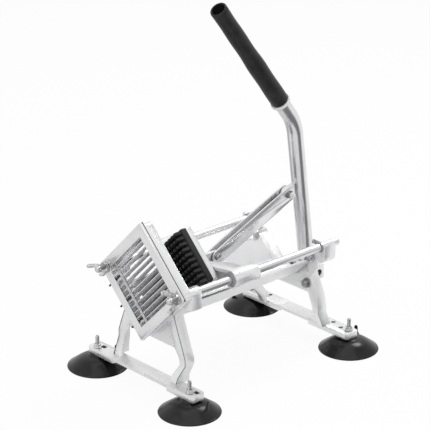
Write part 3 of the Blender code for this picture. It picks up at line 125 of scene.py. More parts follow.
class Shader:
    """A small helper that builds one node tree."""

    def __init__(self, tree):
        self.tree = tree
        self.nodes = tree.nodes
        self.nodes.clear()

    def fill(self, socket, value):
        """Links a socket to another one, or gives it a plain value."""
        if isinstance(value, bpy.types.NodeSocket):
            self.tree.links.new(value, socket)
        else:
            socket.default_value = value

    def node(self, kind, inputs=None, **settings):
        """A node with its settings and its inputs, which may be values or sockets."""
        made = self.nodes.new(kind)
        for key, value in settings.items():
            setattr(made, key, value)
        for key, value in (inputs or {}).items():
            self.fill(made.inputs[key], value)
        return made

    def place(self, stretch=(1, 1, 1)):
        """Object coordinates in metres, stretched along each axis."""
        source = self.node("ShaderNodeTexCoord").outputs["Object"]
        return self.node("ShaderNodeMapping", {"Vector": source, "Scale": stretch}).outputs["Vector"]

    def noise(self, scale, where, detail=2, rough=0.5):
        """Noise between 0 and 1, of so many waves a metre."""
        made = self.node("ShaderNodeTexNoise", {
            "Vector": where, "Scale": scale, "Detail": detail, "Roughness": rough,
        })
        return made.outputs["Fac"]

    def span(self, value, source, target=WHOLE):
        """The value moved from one range to another, and kept inside it."""
        made = self.node("ShaderNodeMapRange", {
            "Value": value, "From Min": source[0], "From Max": source[1],
            "To Min": target[0], "To Max": target[1],
        })
        return made.outputs["Result"]

    def blend(self, share, first, second):
        """A colour between two colours."""
        made = self.node("ShaderNodeMix", data_type="RGBA")
        for place, value in ((MIX_SHARE, share), (MIX_FIRST, first), (MIX_SECOND, second)):
            self.fill(made.inputs[place], (*value, 1) if isinstance(value, tuple) else value)
        return made.outputs[MIX_RESULT]

    def math(self, operation, first, second):
        """The result of one operation on two values."""
        return self.node("ShaderNodeMath", {0: first, 1: second}, operation=operation).outputs[0]

    def painted_hollow_shade(self, colour, reach):
        """The colour with painted shade, darker where the surface lies in a deep hollow, but not where a face
        is buried.
        """
        made = self.node("ShaderNodeAmbientOcclusion", {"Distance": reach}, samples=HOLLOW_SAMPLES)
        sky = made.outputs["AO"]
        deep = self.span(sky, HOLLOW_OPEN, HOLLOW_DEPTH)
        return self.blend(self.math("MULTIPLY", deep, self.span(sky, HOLLOW_BURIED)), colour, HOLLOW_SHADE)

    def bump(self, height, strength, distance):
        """A normal that a height field bends."""
        inputs = {"Height": height, "Strength": strength, "Distance": distance}
        return self.node("ShaderNodeBump", inputs).outputs["Normal"]

    def surface(self, inputs):
        """The Principled shader and the output."""
        shader = self.node("ShaderNodeBsdfPrincipled", inputs)
        self.node("ShaderNodeOutputMaterial", {"Surface": shader.outputs[0]})


def material(name):
    """A new material and its shader helper."""
    made = bpy.data.materials.new(name)
    made.use_nodes = True
    return made, Shader(made.node_tree)


# Cast aluminium: waves a metre of its blotches and its flow marks, and what part of each range it uses
BLOTCH_SCALE = 38
BLOTCH_RANGE = (0.35, 0.65)
FLOW_SCALE = 220
FLOW_RANGE = (0.3, 0.7)
FLOW_HEIGHT = 0.0002
WORN_RANGE = (0.52, 0.58)
WORN_SHARE = (0, 0.6)
WORN_GAIN = 1.06
CAST_SMOOTHER = 0.05
CAST_ROUGHER = 0.06


def cast_metal(name, light, dark, roughness, grain, metallic=0.66, painted_shade_reach=0.035):
    """Tumbled cast aluminium: soft blotches, a faint waviness, edges a little brighter from wear, and painted
    shade in hollows.
    """
    made, tree = material(name)
    where = tree.place()
    blotch = tree.noise(BLOTCH_SCALE, where, detail=3)
    flow = tree.noise(FLOW_SCALE, where)
    colour = tree.blend(tree.span(blotch, BLOTCH_RANGE), light, dark)
    worn = tree.node("ShaderNodeNewGeometry").outputs["Pointiness"]
    bright = tuple(min(part * WORN_GAIN, 1) for part in light)
    colour = tree.blend(tree.span(worn, WORN_RANGE, WORN_SHARE), colour, bright)
    if painted_shade_reach:
        colour = tree.painted_hollow_shade(colour, painted_shade_reach)
    tree.surface({
        "Base Color": colour,
        "Metallic": metallic,
        "Roughness": tree.span(flow, FLOW_RANGE, (roughness - CAST_SMOOTHER, roughness + CAST_ROUGHER)),
        "Normal": tree.bump(flow, grain, FLOW_HEIGHT),
    })
    return made


# Drawn steel: its fine marks run along the axes that are stretched least, under a few broad smears
MARK_RANGE = (0.3, 0.7)
MARK_ROUGHNESS = (0.8, 1.25)
MARK_HEIGHT = 0.00005
SMEAR_SCALE = 45
SMEAR_RANGE = (0.4, 0.75)
SMEAR_SHARE = (0, 0.4)
SMEAR_ROUGH_RANGE = (0.45, 0.8)
SMEAR_ROUGHNESS = (0, 0.06)


def drawn_metal(name, light, dark, roughness, stretch, strength, scratches, metallic=1.0):
    """Ground, drawn or plated steel with fine marks along one way."""
    made, tree = material(name)
    marks = tree.noise(1, tree.place(stretch), detail=3, rough=0.6)
    smear = tree.noise(SMEAR_SCALE, tree.place(), detail=3)
    share = tree.math("MULTIPLY", tree.span(marks, MARK_RANGE), scratches)
    share = tree.math("ADD", share, tree.span(smear, SMEAR_RANGE, SMEAR_SHARE))
    marked = tree.span(marks, MARK_RANGE, tuple(roughness * part for part in MARK_ROUGHNESS))
    tree.surface({
        "Base Color": tree.blend(share, light, dark),
        "Metallic": metallic,
        "Roughness": tree.math("ADD", marked, tree.span(smear, SMEAR_ROUGH_RANGE, SMEAR_ROUGHNESS)),
        "Normal": tree.bump(marks, strength, MARK_HEIGHT),
    })
    return made


# Plated fasteners: patches of the plating and its fine grain
PATCH_SCALE = 260
PATCH_RANGE = (0.35, 0.68)
PATCH_ROUGH_RANGE = (0.3, 0.7)
PATCH_ROUGHNESS = (0.8, 1.3)
PLATE_GRAIN_SCALE = 2600
PLATE_GRAIN = 0.15
PLATE_GRAIN_HEIGHT = 0.00004


def plated_metal(name, light, dark, roughness):
    """Zinc plate or black oxide on a small fastener."""
    made, tree = material(name)
    where = tree.place()
    patch = tree.noise(PATCH_SCALE, where, detail=3, rough=0.6)
    fine = tree.noise(PLATE_GRAIN_SCALE, where)
    tree.surface({
        "Base Color": tree.blend(tree.span(patch, PATCH_RANGE), light, dark),
        "Metallic": 1.0,
        "Roughness": tree.span(patch, PATCH_ROUGH_RANGE, tuple(roughness * part for part in PATCH_ROUGHNESS)),
        "Normal": tree.bump(fine, PLATE_GRAIN, PLATE_GRAIN_HEIGHT),
    })
    return made


# Moulded plastic and rubber: clouds of dust over a fine grain
CLOUD_SCALE = 70
CLOUD_RANGE = (0.4, 0.75)
CLOUD_ROUGH_RANGE = (0.3, 0.75)
MOULDED_SMOOTHER = 0.05
MOULDED_ROUGHER = 0.09
MOULDED_GRAIN_HEIGHT = 0.00012


def moulded(name, colour, lifted, roughness, grain, scale, shine=0.22):
    """Moulded plastic or rubber with a fine grain and a little dust."""
    made, tree = material(name)
    where = tree.place()
    cloud = tree.noise(CLOUD_SCALE, where, detail=4, rough=0.6)
    fine = tree.noise(scale, where)
    dusty = (roughness - MOULDED_SMOOTHER, roughness + MOULDED_ROUGHER)
    tree.surface({
        "Base Color": tree.blend(tree.span(cloud, CLOUD_RANGE), colour, lifted),
        "Roughness": tree.span(cloud, CLOUD_ROUGH_RANGE, dusty),
        "Normal": tree.bump(fine, grain, MOULDED_GRAIN_HEIGHT),
        "Specular IOR Level": shine,
    })
    return made


def grey(level, blue=None):
    """A grey, which may lean to blue."""
    return (level, level, level if blue is None else blue)


CAST = cast_metal("cast_aluminium", grey(0.84), grey(0.78, 0.785), roughness=0.32, grain=0.12)
# The trough's painted shade in hollows reaches further, down under the carriage and the block.
TROUGH = cast_metal(
    "cast_trough", grey(0.80), grey(0.74, 0.745), roughness=0.42, grain=0.10, metallic=0.5, painted_shade_reach=0.10,
)
CAST_SMOOTH = cast_metal(
    "cast_aluminium_ground", grey(0.80), grey(0.75, 0.755), roughness=0.28, grain=0.06, metallic=0.75,
    painted_shade_reach=0,
)
ROD_STEEL = drawn_metal(
    "ground_steel", grey(0.86, 0.87), grey(0.76, 0.77), roughness=0.26, stretch=(260, 12, 260), strength=0.05,
    scratches=0.4,
)
CHROME = drawn_metal(
    "chrome_tube", grey(0.80, 0.81), grey(0.66, 0.67), roughness=0.19, stretch=(500, 30, 12), strength=0.03,
    scratches=0.35,
)
LINK_CHROME = drawn_metal(
    "chrome_sheet", grey(0.82, 0.83), grey(0.66, 0.67), roughness=0.22, stretch=(400, 30, 30), strength=0.03,
    scratches=0.3,
)
BLADE = drawn_metal(
    "blade_steel", grey(0.93, 0.94), grey(0.76, 0.77), roughness=0.32, stretch=(30, 500, 30), strength=0.03,
    scratches=0.3, metallic=0.55,
)
ZINC = plated_metal("zinc_plate", grey(0.72), grey(0.48, 0.49), roughness=0.22)
STUD = plated_metal("stud_steel", grey(0.50), grey(0.26, 0.27), roughness=0.25)
WING_ZINC = plated_metal("zinc_cast", grey(0.76), grey(0.34, 0.35), roughness=0.14)
STEEL_MID = plated_metal("steel_mid", grey(0.60), grey(0.44), roughness=0.34)
STEEL_GREY = plated_metal("steel_grey", grey(0.42), grey(0.24), roughness=0.26)
DARK = plated_metal("black_oxide", (0.060, 0.058, 0.056), grey(0.025), roughness=0.34)
COLLAR = moulded("pale_collar", grey(0.74), grey(0.82), roughness=0.25, grain=0.05, scale=900)
PLASTIC = moulded(
    "black_plastic", grey(0.026, 0.0262), grey(0.040, 0.0405), roughness=0.34, grain=0.15, scale=1900,
)
RUBBER = moulded(
    "black_rubber", grey(0.004, 0.0042), grey(0.009), roughness=0.22, grain=0.10, scale=1200, shine=0.30,
)
GRIP_RUBBER = moulded(
    "grip_rubber", grey(0.014, 0.0145), grey(0.026, 0.0265), roughness=0.36, grain=0.25, scale=1500,
)
# Dark grey of the painted shadow lines along the front legs
PAINTED_CREASE_SHADOW = moulded("crease_shadow", grey(0.09), grey(0.14), roughness=0.5, grain=0.05, scale=900)
# Dark grey of the painted shadow in the seam behind the blade frame
SEAM_SHADOW = moulded("painted_seam_shadow", grey(0.045, 0.046), grey(0.07), roughness=0.42, grain=0.15, scale=1700)
# Grey of the sleeve bushes, and of the rings at the rear bosses that are painted shade
BUSH_AND_SHADE_RING = moulded("grey_bush_and_shade_ring", grey(0.30, 0.31), grey(0.36, 0.37), roughness=0.42, grain=0.15, scale=1700)

# Materials of the CAD nodes, by the start of their names. The longest start that fits counts.
LOOKS = {
    "front_frame": CAST, "rear_frame": CAST, "feed_trough": TROUGH, "pivot_bracket": CAST,
    "pusher_carriage": CAST, "blade_frame": CAST_SMOOTH, "guide_rod": ROD_STEEL, "lever_tube": CHROME,
    "link_channel": LINK_CHROME,
    "grip_collar": ZINC, "link_front_bolt": ZINC, "link_rear_nut": ZINC, "link_rear_bolt": STEEL_GREY,
    "foot_stud": ZINC, "foot_nut": ZINC, "wing_nut": ZINC, "blade_tension_bar": STEEL_MID, "blade": BLADE,
    "tension_screw": DARK, "lever_pivot_pin": DARK, "bracket_bolt": STEEL_GREY, "trough_bolt": ZINC,
    "rod_clamp_screw": STEEL_GREY, "pusher_screw": DARK, "pusher_block": PLASTIC, "sleeve_bush": BUSH_AND_SHADE_RING,
    "hand_grip": GRIP_RUBBER, "suction_cup": RUBBER,
}

# Width in millimetres of the softened edges, by the same starts. Names that aren't here keep sharp edges.
EDGES = {
    "front_frame": 0.4, "rear_frame": 0.4, "pivot_bracket": 0.4, "pusher_carriage": 0.5, "blade_frame": 0.5,
    "link_channel": 0.5, "foot_nut": 0.3, "trough_bolt": 0.3, "bracket_bolt": 0.3, "link_front_bolt": 0.35,
    "link_rear_bolt": 0.35, "link_rear_nut": 0.3, "rod_clamp_screw": 0.4, "blade_tension_bar": 0.3,
    "wing_nut": 0.35, "pusher_block": 0.25, "grip_collar": 0.5,
}
EDGE_SEGMENTS = 2
WELD_DISTANCE = 0.00001


def dress(name):
    """Gives a CAD node its material and softened edges."""
    node = NODES[name]
    key = max((key for key in LOOKS if name.startswith(key)), key=len)
    node.data.materials.clear()
    node.data.materials.append(LOOKS[key])
    node.data.shade_smooth()
    node.data.set_sharp_from_angle(angle=SMOOTH_ANGLE)
    if key in EDGES:
        weld = node.modifiers.new("weld", "WELD")
        weld.merge_threshold = WELD_DISTANCE
        edge = node.modifiers.new("soft_edges", "BEVEL")
        edge.width = EDGES[key] * MM
        edge.segments = EDGE_SEGMENTS
        edge.limit_method = "ANGLE"
        edge.angle_limit = SMOOTH_ANGLE
        edge.harden_normals = True


def add_piece(name, shape, look, body, replaced=(), sharp=SMOOTH_ANGLE):
    """A piece of the scene from a bmesh. It rides on a body, and may stand for CAD nodes."""
    bmesh.ops.recalc_face_normals(shape, faces=shape.faces)
    mesh = bpy.data.meshes.new(name)
    shape.to_mesh(mesh)
    shape.free()
    mesh.materials.append(look)
    mesh.shade_smooth()
    mesh.set_sharp_from_angle(angle=sharp)
    piece = bpy.data.objects.new(name, mesh)
    SCENE.collection.objects.link(piece)
    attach(piece, body)
    if replaced:
        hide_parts(*replaced)


def add_rings(shape, rings, closed=False):
    """Skins rings of points that have the same count, with a face over each end unless the rings close."""
    skins = [[shape.verts.new(point * MM) for point in ring] for ring in rings]
    count = len(skins[0])
    pairs = list(zip(skins, skins[1:]))
    if closed:
        pairs.append((skins[-1], skins[0]))
    else:
        shape.faces.new(skins[0])
        shape.faces.new(skins[-1])
    for lower, upper in pairs:
        for index in range(count):
            after = (index + 1) % count
            shape.faces.new((lower[index], lower[after], upper[after], upper[index]))


def across(axis):
    """Two unit vectors across a unit vector."""
    helper = TO_NEAR if abs(axis.x) < NEARLY_ALONG else UP
    first = (helper - axis * helper.dot(axis)).normalized()
    return first, axis.cross(first)


def ring_of(centre, first, second, radius, sides, other=None):
    """Points of a circle, or of an ellipse, round a centre."""
    other = radius if other is None else other
    angles = [math.tau * step / sides for step in range(sides)]
    return [centre + first * radius * math.cos(a) + second * other * math.sin(a) for a in angles]


def way_along(points, index):
    """Direction of a line of points at one of them."""
    return (points[min(index + 1, len(points) - 1)] - points[max(index - 1, 0)]).normalized()


def add_turned(shape, base, axis, profile, sides=48, closed=False):
    """A turned solid round a unit axis, from a profile of (distance along the axis, radius)."""
    first, second = across(axis)
    rings = [ring_of(base + axis * along, first, second, radius, sides) for along, radius in profile]
    add_rings(shape, rings, closed)


def threaded(start, end, radius, pitch, depth):
    """A profile of thread ridges between two distances."""
    points = []
    for step in range(int((end - start) / pitch)):
        low = start + pitch * step
        points += [(low, radius - depth), (low + pitch * HALF, radius)]
    return points + [(end, radius - depth)]


def in_plane(x, spot):
    """A point from an x and a (y, z) pair."""
    return Vector((x, spot[0], spot[1]))


# Lever, with its places as (y, z) on the middle plane
LEVER_RADIUS = 10.5
LEVER_SIDES = 48
LEVER_FOOT = Vector((148.0, 91.0))
LEVER_BEND = Vector((121.2, 291.0))
LEVER_BEND_RADIUS = 66
LEVER_BEND_STEPS = 14
LEVER_PIVOT = (145, 84)
LEVER_TOP_INSET = 14
GRIP_END = Vector((-9.9, 464.0))
LINK_PIN = Vector((109.5, 197))

# Pivot barrel, across the lever's foot
BARREL_START = -20.9
BARREL_PROFILE = ((0, 10.5), (0.5, 11.8), (1.2, 12.2), (40.6, 12.2), (41.3, 11.8), (41.8, 10.5))

# Lug that carries the link's rear pin
LUG_HALF_WIDTH = 9
LUG_SHOULDER = 9.5
LUG_TIP_RADIUS = 8.5
LUG_TIP_STEPS = 16
LUG_HALF_THICKNESS = 2.8

# Weld bead between tube and barrel: it follows the barrel's roundness and is a little uneven
BEAD_STEPS = 40
BEAD_SIDES = 8
BEAD_RADIUS = 1.6
BEAD_RISE = 10.6
BEAD_FLATNESS = 0.83
BEAD_OUTSIDE = 0.3
BEAD_RIPPLE = 0.3
BEAD_RIPPLES = 9


def lever_line():
    """Centre line of the lever from its foot to the end of the bend, and the direction of its grip."""
    before, after = (LEVER_FOOT - LEVER_BEND).normalized(), (GRIP_END - LEVER_BEND).normalized()
    half_angle = before.angle(after) * HALF
    centre = LEVER_BEND + (before + after).normalized() * LEVER_BEND_RADIUS / math.sin(half_angle)
    start = LEVER_BEND + before * LEVER_BEND_RADIUS / math.tan(half_angle) - centre
    turn = math.pi - before.angle(after)
    turn = -turn if before.cross(after) > 0 else turn
    steps = range(LEVER_BEND_STEPS + 1)
    bent = [centre + Matrix.Rotation(turn * step / LEVER_BEND_STEPS, 2) @ start for step in steps]
    return [LEVER_FOOT, *bent], after


def add_lug(shape, spine):
    """The rounded plate on the lever that carries the link's rear pin."""
    root = LEVER_FOOT + spine * (LINK_PIN - LEVER_FOOT).dot(spine)
    out = (LINK_PIN - root).normalized()
    low, high = root - spine * LUG_HALF_WIDTH, root + spine * LUG_HALF_WIDTH
    outline = [low, low + out * LUG_SHOULDER]
    for step in range(LUG_TIP_STEPS + 1):
        turn = Matrix.Rotation(math.pi * (1 - step / LUG_TIP_STEPS), 2)
        outline.append(LINK_PIN + turn @ (spine * LUG_TIP_RADIUS))
    outline += [high + out * LUG_SHOULDER, high]
    faces = (-LUG_HALF_THICKNESS, LUG_HALF_THICKNESS)
    add_rings(shape, [[in_plane(x, spot) for spot in outline] for x in faces])


def add_bead(shape, spine):
    """The weld bead where the tube meets its barrel."""
    rise_way = in_plane(0, spine)
    first, second = across(rise_way)
    bead = []
    for step in range(BEAD_STEPS):
        angle = math.tau * step / BEAD_STEPS
        radial = first * math.cos(angle) + second * math.sin(angle)
        rise = BEAD_RISE * math.sqrt(max(1 - (radial.x * BEAD_FLATNESS) ** 2, 0))
        rise += BEAD_RIPPLE * math.sin(angle * BEAD_RIPPLES)
        centre = in_plane(0, LEVER_PIVOT) + rise_way * rise + radial * (LEVER_RADIUS + BEAD_OUTSIDE)
        bead.append(ring_of(centre, radial, rise_way, BEAD_RADIUS, BEAD_SIDES))
    add_rings(shape, bead, closed=True)


# Grip: a sleeve with a rounded end, a full lower half and two faint waists above it
GRIP_LENGTH = 174
GRIP_STEPS = 24
GRIP_FOOT_PROFILE = ((0, 10.4), (0, 11.2), (0.6, 11.7))
GRIP_BODY_START = 1
GRIP_BODY_SHORTER = 2.8
GRIP_HEAD_PROFILE = (
    (173.6, 10.7), (174.0, 10.3), (173.9, 9.2), (173.3, 8.6), (160.0, 8.3), (159.5, 5.0), (20.0, 5.0),
)
GRIP_RADIUS = 11.75
GRIP_FALL = 0.8
GRIP_FALL_SHARE = 0.47
GRIP_FALL_STEEPNESS = 16
GRIP_WAVE = 0.2
GRIP_WAVES = 3.2
COLLAR_BELOW = 4.1
COLLAR_PROFILE = ((0, 10.6), (0, 12.4), (0.6, 13.3), (2.0, 13.6), (3.4, 13.3), (4.0, 12.6), (4.0, 10.6))


def grip_radius(share):
    """Radius of the grip at a share of its length."""
    fall = (math.tanh((share - GRIP_FALL_SHARE) * GRIP_FALL_STEEPNESS) + 1) * HALF
    return GRIP_RADIUS - GRIP_FALL * fall + GRIP_WAVE * math.sin(share * math.tau * GRIP_WAVES)


def make_lever():
    """Chromed lever tube with its barrel, lug and weld bead, the collar and the grip."""
    points, grip_way = lever_line()
    stations = [*points, GRIP_END - grip_way * LEVER_TOP_INSET]
    shape = bmesh.new()
    rings = []
    for index, spot in enumerate(stations):
        way = way_along(stations, index)
        aside = Vector((0, -way.y, way.x))
        rings.append(ring_of(in_plane(0, spot), TO_NEAR, aside, LEVER_RADIUS, LEVER_SIDES))
    add_rings(shape, rings)
    add_turned(shape, in_plane(BARREL_START, LEVER_PIVOT), TO_NEAR, BARREL_PROFILE)
    spine = (points[1] - points[0]).normalized()
    add_lug(shape, spine)
    add_bead(shape, spine)
    add_piece("lever_tube_smooth", shape, CHROME, "lever", ("lever_tube",))
    axis = in_plane(0, grip_way)
    base = in_plane(0, GRIP_END - grip_way * GRIP_LENGTH)
    profile = list(GRIP_FOOT_PROFILE)
    for step in range(GRIP_STEPS + 1):
        share = step / GRIP_STEPS
        profile.append((GRIP_BODY_START + (GRIP_LENGTH - GRIP_BODY_SHORTER) * share, grip_radius(share)))
    shape = bmesh.new()
    add_turned(shape, base, axis, [*profile, *GRIP_HEAD_PROFILE])
    add_piece("grip_sleeve", shape, GRIP_RUBBER, "lever", ("hand_grip",))
    shape = bmesh.new()
    add_turned(shape, base - axis * COLLAR_BELOW, axis, COLLAR_PROFILE, closed=True)
    add_piece("grip_collar_ring", shape, COLLAR, "lever", ("grip_collar",))


# Place of each suction cup, and of its release tab from the cup's middle, as (x, y)
CUPS = {
    "front_near": ((88, -136.5), (24.8, 6.3)),
    "front_far": ((-88, -136.5), (4, 25.5)),
    "rear_near": ((91, 136.5), (-10, 23.5)),
    "rear_far": ((-91, 136.5), (-22.8, -13.4)),
}
CUP_SIDES = 72
CUP_LIP_PROFILE = (
    (1.5, 1.0), (1.5, 32.5), (0, 35.0), (0, 38.1), (0.5, 39.0), (1.1, 39.2), (1.8, 38.8), (2.2, 37.9),
)
CUP_DOME_STEPS = 15
CUP_DOME_START = 2.2
CUP_DOME_RISE = 13.3
CUP_DOME_POWER = 1.04
CUP_DOME_RADIUS = 37.9
CUP_DOME_NARROWING = 26.5
CUP_NECK_PROFILE = ((16.2, 11.2), (17.1, 10.9), (17.7, 10.0), (17.7, 1.0))
TAB_SIDES = 16

# Release tab: height, half its width, half its thickness and how far it leans out
TAB_LEVELS = (
    (8.0, 6.2, 2.6, 0), (11.5, 4.6, 1.9, 0.2), (13.5, 3.2, 1.5, 0.5), (17.0, 2.6, 1.3, 0.9),
    (20.0, 2.4, 1.2, 1.2), (21.2, 1.9, 0.9, 1.3), (21.8, 0.9, 0.4, 1.3),
)
STUD_PROFILE = ((9.0, 2.2), *threaded(18.0, 41.4, radius=2.5, pitch=0.8, depth=0.3), (42.0, 1.8))
STUD_SIDES = 20
STUD_SHARP = math.radians(60)


def make_cups():
    """Rubber suction cups with a thin lip, a soft neck and a release tab, and their threaded studs."""
    profile = list(CUP_LIP_PROFILE)
    for step in range(1, CUP_DOME_STEPS):
        share = step / CUP_DOME_STEPS
        rise = CUP_DOME_RISE * math.sin(share * math.pi * HALF) ** CUP_DOME_POWER
        profile.append((CUP_DOME_START + rise, CUP_DOME_RADIUS - CUP_DOME_NARROWING * share))
    profile += CUP_NECK_PROFILE
    for place, (spot, tab) in CUPS.items():
        centre, tab_way = Vector((*spot, 0)), Vector((*tab, 0))
        out = tab_way.normalized()
        side = Vector((-out.y, out.x, 0))
        shape = bmesh.new()
        add_turned(shape, centre, UP, profile, CUP_SIDES)
        rings = []
        for height, half_width, half_thickness, lean in TAB_LEVELS:
            middle = centre + tab_way + out * lean + UP * height
            rings.append(ring_of(middle, side, out, half_width, TAB_SIDES, half_thickness))
        add_rings(shape, rings)
        add_piece(f"cup_{place}", shape, RUBBER, "machine", (f"suction_cup_{place}",))
        shape = bmesh.new()
        add_turned(shape, centre, UP, STUD_PROFILE, STUD_SIDES)
        add_piece(f"stud_{place}", shape, STUD, "machine", (f"foot_stud_{place}",), STUD_SHARP)


# Guide rods from their front end, and the grey ring at each rear boss, which is painted shade where the rod
# enters it
ROD_X = 67
ROD_START_Y = -152
ROD_SIDES = 40
ROD_PROFILE = (
    (0, 2.4), *threaded(0.7, 26.5, radius=3.3, pitch=1, depth=0.4), (28.1, 3.0), (28.1, 4.8), (28.6, 5.25),
    (286.7, 5.25), (287.5, 4.5),
)
ROD_SHADE_RING_Y = 102.7
ROD_SHADE_RING_PROFILE = ((0, 5.4), (0, 6.3), (0.4, 6.8), (1.2, 6.8), (1.2, 5.4))


def make_rods():
    """Ground guide rods with chamfers and a thread at the front, and a grey ring at each rear boss as painted
    shade round the rod's entry.
    """
    for side, sign in SIDES:
        shape = bmesh.new()
        add_turned(shape, Vector((sign * ROD_X, ROD_START_Y, AXIS_Z)), TO_REAR, ROD_PROFILE, ROD_SIDES)
        add_piece(f"rod_{side}", shape, ROD_STEEL, "machine", (f"guide_rod_{side}",))
        shape = bmesh.new()
        add_turned(shape, Vector((sign * ROD_X, ROD_SHADE_RING_Y, AXIS_Z)), TO_REAR, ROD_SHADE_RING_PROFILE, closed=True)
        add_piece(f"rod_shade_ring_{side}", shape, BUSH_AND_SHADE_RING, "machine")


# Wing nuts, forwards from their seats. The turn of each is in degrees.
WING_SEAT_Y = -139.4
WING_TURNS = {"near": 118, "far": 172}
WING_SIDES = 40
WING_FLANGE_PROFILE = ((0, 3.6), (0, 6.4), (0.3, 6.8), (1.2, 6.8), (1.4, 6.2), (1.6, 3.6))
WING_NECK_PROFILE = ((1.2, 3.6), (1.2, 4.8), (8.6, 4.2), (8.6, 3.6))
WING_DOME_PROFILE = (
    (8.2, 3.6), (8.2, 4.3), (8.8, 4.6), (11.0, 4.3), (12.4, 3.7), (13.2, 2.7), (13.6, 1.4), (13.7, 0.4),
)

# Outline of a wing as (outwards, forwards), and its sections as (place across it, size)
WING_OUTLINE = tuple(Vector(spot) for spot in (
    (3.0, 0.6), (7.4, 0.6), (8.6, 1.2), (12.4, 7.0), (15.5, 12.8), (15.9, 14.4), (15.2, 16.2), (13.2, 17.7),
    (11.6, 17.9), (10.6, 17.0), (9.0, 13.6), (6.8, 9.8), (5.4, 8.6), (3.0, 8.2),
))
WING_MIDDLE = sum(WING_OUTLINE, Vector((0, 0))) / len(WING_OUTLINE)
WING_SECTIONS = ((-1.3, 0.90), (-1.1, 0.97), (-0.7, 1), (0.7, 1), (1.1, 0.97), (1.3, 0.90))


def make_wing_nuts():
    """Cast wing nuts: a domed hub, a flange, a neck in a darker grey that is painted shade, and two rounded
    wings that lean forward.
    """
    for side, sign in SIDES:
        seat = Vector((sign * ROD_X, WING_SEAT_Y, AXIS_Z))
        body, slot = f"wing_nut_{side}", "zinc_plate"
        shape = bmesh.new()
        add_turned(shape, seat, TO_FRONT, WING_FLANGE_PROFILE, WING_SIDES, closed=True)
        add_turned(shape, seat, TO_FRONT, WING_DOME_PROFILE, WING_SIDES)
        for turn in (WING_TURNS[side], WING_TURNS[side] + HALF_TURN_DEGREES):
            angle = math.radians(turn)
            out = Vector((math.cos(angle), 0, math.sin(angle)))
            aside = Vector((-math.sin(angle), 0, math.cos(angle)))
            rings = []
            for place, size in WING_SECTIONS:
                flat = [WING_MIDDLE + (spot - WING_MIDDLE) * size for spot in WING_OUTLINE]
                rings.append([seat + out * spot.x + TO_FRONT * spot.y + aside * place for spot in flat])
            add_rings(shape, rings)
        add_piece(f"wing_nut_cast_{side}", shape, WING_ZINC, body, (f"wing_nut_{side}",))
        # The neck takes a darker grey than the wings: painted shade behind the hub.
        shape = bmesh.new()
        add_turned(shape, seat, TO_FRONT, WING_NECK_PROFILE, WING_SIDES, closed=True)
        add_piece(f"wing_nut_shaded_neck_{side}", shape, STEEL_GREY, body)


# Sections of the block's plate and of one peg: (distance forwards, half the side, cut corner)
PLATE_SECTIONS = ((65.0, 37.2, 1.8), (65.3, 37.5, 1.8), (71.2, 37.5, 1.8), (72.0, 36.9, 1.6))
PEG_SECTIONS = ((71.5, 2.1, 0.35), (81.9, 1.8, 0.35), (83.0, 1.5, 0.5), (83.6, 0.9, 0.4))
PEG_ROWS = 10


def square_section(centre, along, half, corner):
    """Points of a square with cut corners, across the way the block moves."""
    short = half - corner
    points = []
    for down, up in CORNERS:
        pairs = ((half, short), (short, half)) if down * up > 0 else ((short, half), (half, short))
        points += [EDGE_DOWN * down * first + EDGE_UP * up * second for first, second in pairs]
    return [centre + TO_FRONT * along + point for point in points]


def make_block():
    """Pegged pusher block: slim square pegs with domed tips on a chamfered plate."""
    shape = bmesh.new()
    add_rings(shape, [square_section(MIDDLE, *section) for section in PLATE_SECTIONS])
    places = [(row - (PEG_ROWS - 1) * HALF) * BLADE_PITCH for row in range(PEG_ROWS)]
    for down in places:
        for up in places:
            spot = MIDDLE + EDGE_DOWN * down + EDGE_UP * up
            add_rings(shape, [square_section(spot, *section) for section in PEG_SECTIONS])
    add_piece("peg_block", shape, PLASTIC, "carriage", ("pusher_block",))


# Domed trough bolts, from the washer's seat
DOME_BOLT_X = 50.5
DOME_BOLT_Y = 104.4
DOME_BOLT_Z = 126.5
DOME_BOLT_SIDES = 32
DOME_WASHER_PROFILE = ((0, 2.0), (0, 6.0), (0.9, 6.0), (1.0, 4.4))
DOME_START = 1.6
DOME_HEIGHT = 2.6
DOME_RADIUS = 4.3
DOME_STEPS = 6
DOME_STEP_ANGLE = math.radians(15)


def make_bolts():
    """Domed trough bolts on their washers."""
    profile = list(DOME_WASHER_PROFILE)
    for step in range(DOME_STEPS):
        angle = step * DOME_STEP_ANGLE
        profile.append((DOME_START + DOME_HEIGHT * math.sin(angle), DOME_RADIUS * math.cos(angle)))
    for side, sign in SIDES:
        shape = bmesh.new()
        seat = Vector((sign * DOME_BOLT_X, DOME_BOLT_Y, DOME_BOLT_Z))
        add_turned(shape, seat, TO_FRONT, profile, DOME_BOLT_SIDES)
        add_piece(f"dome_bolt_{side}", shape, ZINC, "machine", (f"trough_bolt_{side}",))


# Section of the thin dark sheet behind the blade frame that is painted shadow in the seam, as (y, half the
# side)
SEAM_SHADOW_SECTION = ((-134.9, 52), (-134.9, 55.45), (-133.0, 55.45), (-133.0, 52))


def make_seam():
    """Painted shadow: a thin dark sheet in the seam between the blade frame's plate and the ring of the front
    casting.
    """
    rings = []
    for y, half in SEAM_SHADOW_SECTION:
        centre = MIDDLE + TO_REAR * y
        rings.append([centre + (EDGE_DOWN * down + EDGE_UP * up) * half for down, up in CORNERS])
    shape = bmesh.new()
    add_rings(shape, rings, closed=True)
    add_piece("frame_seam_shadow", shape, SEAM_SHADOW, "machine")


# Line of the fold at the front edge of the near front leg, from the foot bar up, where a thin dark tube is a
# painted shadow line
CREASE_LINE = (
    (59.5, -133.4, 26.0), (59.5, -130.2, 33), (63.0, -121.4, 47), (63.0, -121.4, 55), (58.5, -121.4, 67.5),
    (47.5, -121.4, 95), (41.8, -121.4, 111),
)
CREASE_RADIUS = 0.42
CREASE_SIDES = 8


